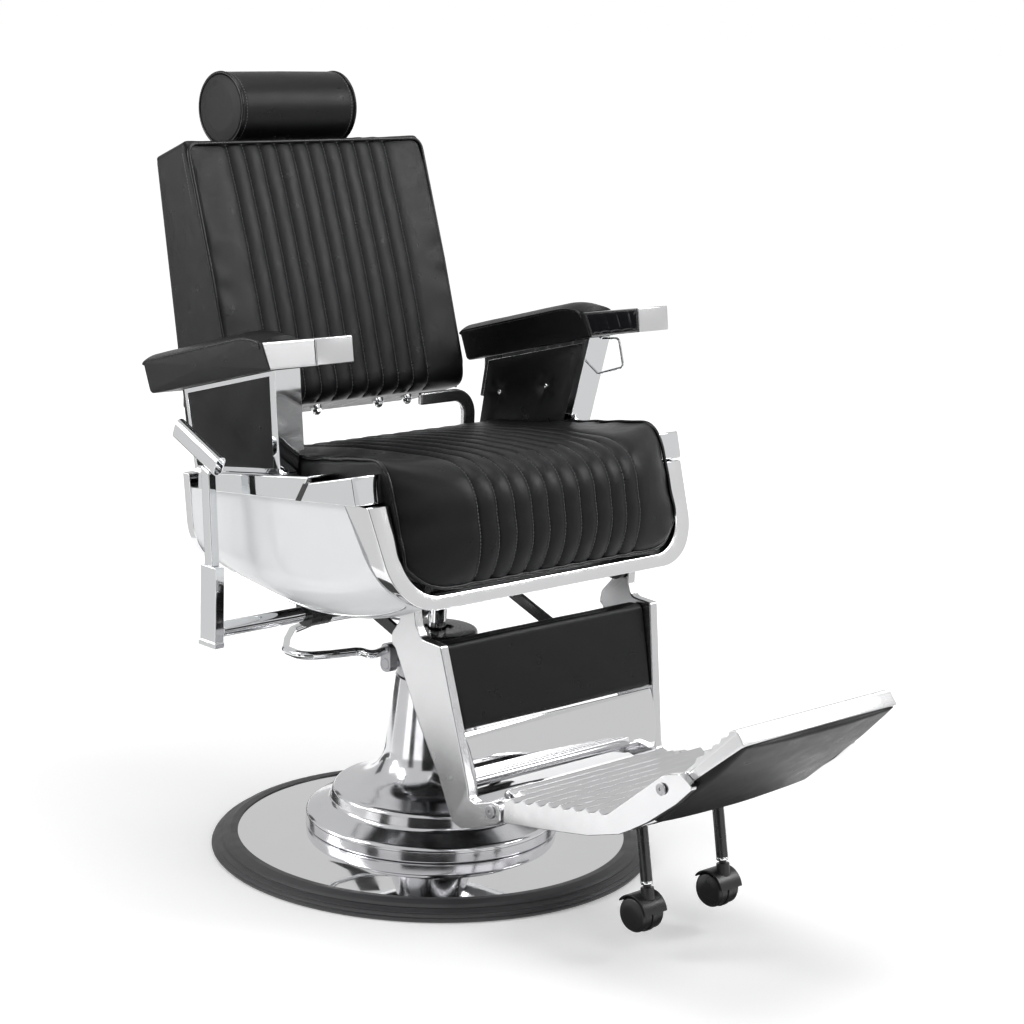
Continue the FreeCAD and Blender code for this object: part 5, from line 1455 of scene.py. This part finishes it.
    def caps(self) -> None:
        """The metal caps in front of the rests, with a joint at each front corner and an inlay inside."""
        rear_low, rear_high = np.array([-24.5, 744.2]), np.array([-5.5, 778.6])
        front_high, front_low = np.array([-119.0, 798.8]), np.array([-124.0, 763.7])
        shape = ((*rear_low, 0.5), (*rear_high, 0.5), (*front_high, 1.5), (*front_low, 1.5))
        right, left = -self.outside, -self.outside + self.width
        self.both(prism(shape, right, left, 1.2), "arm_front_cap", SATIN, "chrome", "arm_cap")
        joints = []
        for x in (right, left):
            run = np.linspace(front_low + (2.6, 0.4), front_high + (2.6, -1.5), 8)
            joints.append(sweep(np.concatenate([np.full((8, 1), x), run], 1), 0.8, 8, up=(1.0, 0.0, 0.0)))
        self.both(joints[0].plus(joints[1]), "arm_cap_joint", BLACK_ENAMEL, "black_enamel")
        u, v = np.meshgrid(np.linspace(0.05, 0.95, 80), np.linspace(0.1, 0.9, 24), indexing="ij")
        low = rear_low + (front_low - rear_low) * u[..., None]
        high = rear_high + (front_high - rear_high) * u[..., None]
        place = low + (high - low) * v[..., None]
        border = (1 - (2 * (u - 0.5) / 0.9) ** 10) * (1 - (2 * (v - 0.5) / 0.8) ** 8)
        pleats = 0.5 + 0.9 * np.abs(np.sin(4.5 * math.pi * u + 0.8 * v)) ** 0.7
        face = np.concatenate([(left + pleats * border)[..., None], place], -1)
        behind = np.concatenate([np.full((*u.shape, 1), left), place], -1)
        self.both(two_sided(face, behind), "arm_cap_inlay", INLAY, "chrome")


@dataclass
class TowelHoop:
    """The bent wire in front of the left arm post."""

    def build(self) -> None:
        """Makes the wire."""
        x, face, top = arm_face(742.5) - 17, -17.0, 739.5
        route = path_bends([(x, face - 0.7, top - 1), (x, face - 34, top + 4), (x, face - 46, top - 38),
                            (x, face + 5.1, top - 55)], 7.0)
        sweep(route, 2.0, 14, up=(1.0, 0.0, 0.0)).dress("towel_wire", CHROME, "seat", "chrome",
                                                       ("towel_hoop",), sharp=60)


@dataclass
class ReclineLever:
    """The hand lever on the right: cross shaft, socket, flat arm and oval grip."""

    def build(self) -> None:
        """Dresses the parts of the lever."""
        refined("recline_lever_shaft", CHROME, 0.8)
        refined("recline_lever_socket", CHROME, 1.0, segments=3)
        refined("recline_lever_arm", CHROME, 1.5, segments=3)
        refined("recline_lever_grip", CHROME, 0.5)


@dataclass
class Back:
    """The back: sewn cushion, covered board, hooked arms, crank frame and the head rest."""

    form: BackForm = field(default_factory=BackForm)
    pivot_y: float = 190.0
    pivot_z: float = 560.0
    lean: float = 18.78
    roll_radius: float = 54.7
    roll_half: float = 110.2
    roll_y: float = 29.3
    roll_z: float = 539.4

    def hung(self, surface: Surface) -> Surface:
        """Moves a surface drawn upright about the pivot to its place on the chair."""
        return surface.leant(self.pivot_y, self.pivot_z, self.lean)

    def build(self) -> None:
        """Makes the cushion and the roll, and dresses the metal."""
        cushion = self.hung(self.form.surface()).dress(
            "back_cover", LEATHER, "back", "upholstery", ("back_cushion",))
        self.threads()
        self.welts()
        self.board()
        for side in ("right", "left"):
            refined("back_arm_" + side, CAST, 3.0, segments=3)
        refined("back_crank_frame", BLACK_ENAMEL, 0.8)
        refined("back_acorn_nuts", CHROME, 0.3)
        refined("headrest_sleeve", STEEL, 0.3)
        refined("headrest_post", CHROME, 0.8)
        self.roll()

    def board(self) -> None:
        """The covered board behind the cushion."""
        form, thick = self.form, 7.0
        shape = ((form.rear_foot + 0.4, form.foot + 6, 1), (form.rear_foot + thick, form.foot + 8, 4),
                 (form.rear_top + thick, form.top - 9, 4), (form.rear_top + 0.4, form.top - 7, 1))
        half = form.half_width - 7
        self.hung(prism(shape, -half, half, 3.0)).dress(
            "back_rear_cover", BOARD, "back", "board", ("back_board",))

    def threads(self) -> None:
        """Threads along each sewn line of the back."""
        points, away = self.form.cover(self.form.seams())
        rows = []
        for ring, normal in zip(points, away):
            sewn = (normal[:, 1] < -0.3) & (ring[:, 2] < self.form.top - 5)
            rows.append(stitches(ring[sewn] + normal[sewn] * 0.5, normal[sewn], thick=0.7))
        self.hung(rows[0].plus(*rows[1:])).dress("back_threads", THREAD, "back", "upholstery", sharp=60)

    def welts(self) -> None:
        """Piping round the front face of the back, and the row of threads beside it."""
        form = self.form
        side, front = form.half_width - 2.5, form.front + 2.0
        route = path_bends([
            (-side, form.front + 30, form.foot + 1), (-side, front + 2.5, form.foot + 34),
            (-side, front - 1.5, (form.foot + form.top) / 2), (-side, front, form.top - 6),
            (side, front, form.top - 6), (side, front - 1.5, (form.foot + form.top) / 2),
            (side, front + 2.5, form.foot + 34), (side, form.front + 30, form.foot + 1)], 16.0)
        welt = sweep(smoothed(route, 1), 2.6, 12, up=(0.05, 1.0, 0.05))
        self.hung(welt).dress("back_piping", PIPING, "back", "upholstery", sharp=60)
        seam = np.stack([np.full(80, form.half_width + 0.2), np.full(80, form.front + 13.0),
                         np.linspace(form.foot + 30, form.top - 14, 80)], -1)
        away = np.tile([1.0, 0.0, 0.0], (80, 1))
        rows = [stitches(seam * (s, 1, 1), away * (s, 1, 1), 3.0, 1.6, 0.5) for s in (-1, 1)]
        self.hung(rows[0].plus(rows[1])).dress("back_side_threads", THREAD, "back", "upholstery", sharp=60)

    def roll(self) -> None:
        """The head rest: a full round roll with piped, slightly domed ends."""
        long, radius = self.roll_half, self.roll_radius
        profile = rounded([
            (0, -long - 1.0), (radius * 0.6, -long - 0.6, 60), (radius - 5, -long + 1.5, 3),
            (radius - 1.5, -long + 6, 4), (radius - 0.6, -long + 14, 20), (radius, 0, 400),
            (radius - 0.6, long - 14, 20), (radius - 1.5, long - 6, 4), (radius - 5, long - 1.5, 3),
            (radius * 0.6, long + 0.6, 60), (0, long + 1.0)], 8)
        body = lathe(profile, 160, along_x=True)
        turn = np.arctan2(body.points[:, 2], body.points[:, 1])
        swell = 1 + 0.004 * np.sin(3 * turn + body.points[:, 0] / 40) * np.cos(body.points[:, 0] / 23)
        body.points[:, 1:] *= swell[:, None]
        centre = leant_points(np.array([0.0, self.roll_y, self.roll_z]), self.pivot_y, self.pivot_z,
                              self.lean)
        place = dict(y=float(centre[1]), z=float(centre[2]), degrees=self.lean)
        piece = body.leant(**place).dress("head_roll", LEATHER, "headrest", "upholstery", ("headrest_roll",))
        angle = np.linspace(0, 2 * math.pi, 120, endpoint=False)
        rings, rows = [], []
        for side in (-1, 1):
            circle = np.stack([np.full(120, side * (long - 3.2)), (radius - 1.6) * np.cos(angle),
                               (radius - 1.6) * np.sin(angle)], -1)
            rings.append(sweep(circle, 2.3, 12, looped=True, up=(1.0, 0.0, 0.0)))
            seam = np.stack([np.full(121, side * (long - 10.5)), (radius - 0.7) * np.cos(np.append(angle, 0)),
                             (radius - 0.7) * np.sin(np.append(angle, 0))], -1)
            rows.append(stitches(seam, seam * (0, 1, 1) / (radius - 0.7), 3.0, 1.6, 0.5))
        rings[0].plus(rings[1]).leant(**place).dress("head_roll_piping", PIPING, "headrest", "upholstery",
                                                     sharp=60)
        rows[0].plus(rows[1]).leant(**place).dress("head_roll_threads", THREAD, "headrest", "upholstery",
                                                   sharp=60)


@dataclass
class LegRest:
    """The leg rest: cast arms, calf pad, mirror plate and the links that move it."""

    inside: float = 182.6
    foot: float = 271.0
    top: float = 386.0
    splay: float = 6.28

    def half(self, z: Array | float) -> Array | float:
        """Half distance between the leg arms at a height."""
        return self.inside + (z - self.foot) * math.tan(math.radians(self.splay)) - 0.6

    def build(self) -> None:
        """Makes the pad and dresses the castings."""
        front_top, front_foot, thick = -229.0, -265.0, 22.0
        middle = (self.foot + self.top) / 2
        form = PadForm(self.half(middle), edge=7.0, end_crown=0.0, around=240, crown=4.5,
                       facing=(-0.95, 0.3), wave=0.3,
                       corners=((front_top, self.top, 9.0), (front_foot, self.foot, 9.0),
                                (front_foot + thick, self.foot, 2.0), (front_top + thick, self.top, 2.0)),
                       widen=lambda z: self.half(z) / self.half(middle))
        pad = form.surface().dress("calf_cover", LEATHER, "leg_rest", "upholstery", ("calf_pad",))
        self.mirror()
        for side in ("right", "left"):
            refined("leg_arm_" + side, CAST, 2.2, segments=3)
        refined("leg_cross_tube", BLACK_ENAMEL, 0.5)
        refined("link_bars", BLACK_ENAMEL, 0.6)

    def mirror(self) -> None:
        """The polished plate under the pad: a thin sheet, hollow towards the sitter's feet.

        Its place along Y is a parabola of the height that hangs forward a little at the foot.
        """
        rise = np.linspace(0, 1, 40)[:, None]
        top, foot, thick = self.foot - 1.5, 184.0, 2.2
        z = foot + (top - foot) * rise
        y = -283.0 - 8.5 * rise + 29.5 * rise ** 2
        half = self.half(z)
        corners = ((-half, 0.0), (half, 0.0), (half, thick), (-half, thick))
        rings = np.stack([np.concatenate([x, y + back, z], 1) for x, back in corners], 1)
        skin(rings).dress("polished_plate", MIRROR, "leg_rest", "mirror_plate", ("calf_plate",))


@dataclass
class FootRest:
    """The foot rest: ribbed casting, flip panel with its pad, screws, tubes and casters."""

    hinge_y: float = -611.0
    hinge_z: float = 280.0
    slope: float = 42.5
    half: float = 149.0
    reach: float = 143.0
    tail: float = 28.0
    thick: float = 21.0

    def build(self) -> None:
        """Makes the padded side of the panel and dresses the rest."""
        refined("footrest_deck", RIBBED, 0.9)
        refined("flip_panel", CAST, 0.8)
        self.rear_ribs()
        tray = prism(((-18, -0.8, 0.5), (-18, -12, 3), (-self.reach, -19, 1.5), (-self.reach - 1, 1, 1)),
                     -self.half, self.half, 1.5)
        tray.leant(self.hinge_y, self.hinge_z, self.slope).dress("flip_panel_rim", CAST, "flip_panel",
                                                                 "cast_aluminium")
        form = PadForm(self.half - 2, edge=8.0, end_crown=0.5, around=260, crown=5.0, facing=(0.0, -1.0),
                       wave=0.3,
                       corners=((self.tail - 4, -1.4, 1.0), (self.tail + 36, -12, 5.0),
                                (self.tail + 27, -5 - self.thick, 12.0),
                                (-self.reach / 2, -self.thick - 5.0, 300.0),
                                (3 - self.reach, -self.thick, 4.0), (3 - self.reach, -12, 1.0)))
        pad = form.surface().leant(self.hinge_y, self.hinge_z, self.slope).dress(
            "flip_panel_cover", LEATHER, "flip_panel", "upholstery", ("flip_panel_pad",))
        for node, finish, slot in (("footrest_pivot_screws", STEEL, "machined_steel"),
                                   ("flip_screws", STEEL, "machined_steel"),
                                   ("caster_tubes", BLACK_ENAMEL, "black_enamel")):
            refined(node, finish, 0.4)
        self.wheels()
        for side in ("right", "left"):
            refined("caster_hood_" + side, PLASTIC, 0.8)

    def rear_ribs(self) -> None:
        """The two ribs of the casting that lie over its pivot, between the leg arms."""
        base, rear, pitch = 178.0, -350.0, 21.3
        corners = [(rear, base + 8), (rear + 38, base + 6, 3)]
        for i in (2, 1):
            y, top = rear - 11 + i * pitch, base + 27 - i * pitch * 0.147
            corners += [(y + 6, top - 5), (y, top, 2.2), (y - 8, top - 5)]
        corners += [(rear, base + 20)]
        prism(corners, -151.0, 151.0, 0.8).dress("footrest_rear_ribs", RIBBED, "footrest", "cast_aluminium")

    def wheels(self) -> None:
        """Twin wheels with domed covers, on both casters."""
        radius, inner, outer = 24.5, 4.6, 21.0
        trail, drop, out, stem = 14.4, -39.1, 74.4, dict(y=-510.1, z=103.6, degrees=10.46)
        profile = rounded([(0, inner), (radius - 1, inner), (radius, inner + 1), (radius, outer - 6, 2),
                           (radius - 3, outer - 1.5, 3), (radius * 0.5, outer + 0.6, 40), (0, outer + 1)], 6)
        disc = lathe(profile, 90, along_x=True)
        twin = disc.plus(disc.mirrored())
        for side, sign in (("right", -1), ("left", 1)):
            pair = Surface(twin.points + np.array([sign * out, trail, drop]), twin.faces)
            pair.leant(**stem).dress("caster_wheel_pair_" + side, PLASTIC, "wheels_" + side,
                                     "caster_plastic", ("caster_wheels_" + side,))
            collar = lathe(rounded([(5.05, 0.5), (8.2, 0.5, 0.6), (8.2, 4.5, 1.2), (5.05, 5.5)], 4), 60)
            collar.leant(**stem, x=sign * out).dress("caster_collar_" + side, CHROME, "caster_" + side,
                                                     "chrome")


@dataclass(frozen=True)
class Softbox:
    """One area lamp of the studio."""

    name: str
    place: tuple[float, float, float]
    aim: tuple[float, float, float]
    size: tuple[float, float]
    power: float

    def build(self) -> None:
        """Hangs the lamp and points it at its aim."""
        data = bpy.data.lights.new(self.name, "AREA")
        data.shape = "RECTANGLE"
        data.size, data.size_y = self.size
        data.energy = self.power
        lamp = bpy.data.objects.new(self.name, data)
        bpy.context.scene.collection.objects.link(lamp)
        lamp.location = self.place
        lamp.rotation_euler = (Vector(self.aim) - Vector(self.place)).to_track_quat("-Z", "Y").to_euler()


def matte(name: str, base: float, glow: float) -> bpy.types.Material:
    """A grey without any gloss that gives off light of its own.

    Args:
        name: Name of the material.
        base: Its grey, from 0 to 1.
        glow: Grey of the light that it gives off at strength 1.

    Returns:
        The material.
    """
    material = bpy.data.materials.new(name)
    material.use_nodes = True
    inputs = material.node_tree.nodes["Principled BSDF"].inputs
    inputs["Base Color"].default_value = (base, base, base, 1)
    inputs["Roughness"].default_value = 0.9
    inputs["Specular IOR Level"].default_value = 0.0
    inputs["Emission Color"].default_value = (glow, glow, glow, 1)
    inputs["Emission Strength"].default_value = 1.0
    return material


def largest(tree: bpy.types.NodeTree, one: bpy.types.NodeSocket,
            other: bpy.types.NodeSocket) -> bpy.types.NodeSocket:
    """The larger of two values.

    Args:
        tree: The node tree of the world.
        one: The socket of a value.
        other: The socket of another.

    Returns:
        The socket of the larger one.
    """
    node = tree.nodes.new("ShaderNodeMath")
    node.operation = "MAXIMUM"
    tree.links.new(one, node.inputs[0])
    tree.links.new(other, node.inputs[1])
    return node.outputs[0]


@dataclass
class Studio:
    """Camera, pale floor, white surround, lamps, and cards that only gloss and metal reflect.

    A card is its azimuth and half its angle about the chair, the distance and height of its near arc
    and of its far arc in metres, and its brightness, from black to brighter than the surround.
    """

    camera_place: tuple[float, float, float] = (-2.3727, -2.6323, 1.2682)
    azimuth: float = -43.7135
    pitch: float = 12.1006
    roll: float = 1.9730
    lens: float = 87.85
    ambient: float = 0.45
    mirrored: float = 0.62
    cards: tuple = (
        (-133.7, 24.0, 0.95, 0.004, 4.4, 0.004, 0.02), (-133.7, 24.0, 4.4, 0.0, 4.4, 2.3, 0.02),
        (133.7, 20.0, 0.95, 0.004, 4.4, 0.004, 0.68), (133.7, 20.0, 4.4, 0.0, 4.4, 1.1, 0.68),
        (-46.3, 20.0, 0.95, 0.004, 4.4, 0.004, 0.70), (-46.3, 20.0, 4.4, 0.0, 4.4, 2.2, 0.70),
        (92.0, 18.0, 0.95, 0.004, 4.4, 0.004, 0.10), (92.0, 6.0, 4.4, 0.0, 4.4, 1.6, 0.10),
        (0.0, 17.0, 0.95, 0.004, 4.4, 0.004, 0.10), (0.0, 6.0, 4.4, 0.0, 4.4, 1.6, 0.10),
        (176.0, 6.0, 0.95, 0.004, 4.4, 0.004, 0.05), (176.0, 6.0, 4.4, 0.0, 4.4, 1.6, 0.05),
        # The full ring from 0.345 m to 0.6 m round the chair is painted shade: a dark card that gloss and
        # metal mirror in place of the shadowed floor under the chair.
        (0.0, 180.0, 0.345, 0.003, 0.6, 0.003, 0.06), (55.0, 1.2, 4.4, 2.5, 4.4, 3.9, 0.05),
        (19.0, 2.0, 4.4, 2.5, 4.4, 3.9, 0.05),
        (-38.0, 9.0, 3.1, 2.3, 2.9, 3.4, 7.0), (133.7, 12.0, 4.3, 1.2, 4.3, 2.3, 2.0))

    def camera(self) -> None:
        """Sets the camera at the photograph's angle."""
        data = bpy.data.cameras.new("camera")
        data.sensor_width, data.lens = 36.0, self.lens
        data.clip_start, data.clip_end = 0.05, 200.0
        camera = bpy.data.objects.new("camera", data)
        bpy.context.scene.collection.objects.link(camera)
        a, e = math.radians(self.azimuth), math.radians(self.pitch)
        back = Vector((math.sin(a) * math.cos(e), -math.cos(a) * math.cos(e), math.sin(e)))
        camera.rotation_mode = "QUATERNION"
        turn = (-back).to_track_quat("-Z", "Y") @ Quaternion((0, 0, 1), math.radians(self.roll))
        camera.rotation_quaternion = turn
        camera.location = self.camera_place
        bpy.context.scene.camera = camera

    def surround(self) -> None:
        """The world: white where it is seen or mirrored, gentler as light."""
        world = bpy.data.worlds.new("surround")
        bpy.context.scene.world = world
        world.use_nodes = True
        tree = world.node_tree
        background = tree.nodes["Background"]
        background.inputs["Color"].default_value = (1, 1, 1, 1)
        rays = tree.nodes.new("ShaderNodeLightPath").outputs
        seen = largest(tree, largest(tree, rays["Is Camera Ray"], rays["Is Glossy Ray"]),
                       rays["Is Transmission Ray"])
        level = mapped(tree, seen, 0.0, 1.0, self.ambient, self.mirrored)
        both = tree.nodes.new("ShaderNodeMix")
        tree.links.new(rays["Is Camera Ray"], both.inputs["Factor"])
        tree.links.new(level, both.inputs["A"])
        both.inputs["B"].default_value = 1.0
        tree.links.new(both.outputs["Result"], background.inputs["Strength"])

    def floor(self) -> None:
        """A wide white floor that keeps the chair's shadow and glows more with distance."""
        reach, near, far, dim, bright = 40.0, 0.7, 2.6, 0.22, 0.62
        mesh = bpy.data.meshes.new("floor")
        mesh.from_pydata([(-reach, -reach, 0), (reach, -reach, 0), (reach, reach, 0), (-reach, reach, 0)], [],
                         [(0, 1, 2, 3)])
        material = matte("floor_white", 0.92, 1.0)
        tree = material.node_tree
        away = tree.nodes.new("ShaderNodeVectorMath")
        away.operation = "LENGTH"
        tree.links.new(tree.nodes.new("ShaderNodeTexCoord").outputs["Object"], away.inputs[0])
        glow = mapped(tree, away.outputs["Value"], near, far, dim, bright)
        tree.links.new(glow, tree.nodes["Principled BSDF"].inputs["Emission Strength"])
        mesh.materials.append(material)
        floor = bpy.data.objects.new("floor", mesh)
        floor.location.z = -0.0005
        bpy.context.scene.collection.objects.link(floor)

    def hang_cards(self) -> None:
        """Dark and bright cards, some on the floor, some upright: strips between two arcs."""
        count = 25
        index = np.arange(2 * count).reshape(2, count)
        quads = np.stack([index[0, :-1], index[0, 1:], index[1, 1:], index[1, :-1]], -1).tolist()
        for i, (azimuth, half, near, low, far, high, grey) in enumerate(self.cards):
            turn = np.radians(np.linspace(azimuth - half, azimuth + half, count))
            arcs = np.stack([np.stack([r * np.cos(turn), r * np.sin(turn), 0 * turn + z], -1)
                             for r, z in ((near, low), (far, high))])
            mesh = bpy.data.meshes.new("card_%d" % i)
            mesh.from_pydata(arcs.reshape(-1, 3).tolist(), [], quads)
            mesh.materials.append(matte("card_%d" % i, 0.0, grey))
            card = bpy.data.objects.new("card_%d" % i, mesh)
            bpy.context.scene.collection.objects.link(card)
            card.visible_camera = card.visible_diffuse = card.visible_shadow = False

    def build(self) -> None:
        """Sets the whole studio up."""
        self.camera()
        self.surround()
        self.floor()
        self.hang_cards()
        chair = (0.0, -0.1, 0.55)
        for lamp in (Softbox("key_left", (-2.9, 1.5, 2.2), chair, (0.9, 1.4), 40.0),
                     Softbox("low_left", (-2.7, 2.8, 1.0), chair, (0.7, 1.0), 14.0),
                     Softbox("fill_front", (-0.7, -3.8, 3.0), chair, (2.0, 1.4), 24.0),
                     Softbox("top", (0.2, 0.0, 3.6), chair, (2.0, 2.0), 36.0),
                     Softbox("nose", (2.05, -1.85, 2.42), chair, (0.9, 1.5), 28.0)):
            lamp.build()
        bpy.context.scene.view_settings.view_transform = "Standard"


def main() -> None:
    """Builds the studio and then the chair, one sub-assembly after another."""
    logging.basicConfig(level=logging.INFO, format="%(name)s %(message)s")
    for assembly in (Studio(), Base(), PumpLever(), Tub(), Seat(), Arm(), TowelHoop(), ReclineLever(),
                     Back(), LegRest(), FootRest()):
        LOG.info("building %s", type(assembly).__name__)
        assembly.build()


if __name__ == "__main__":
    main()
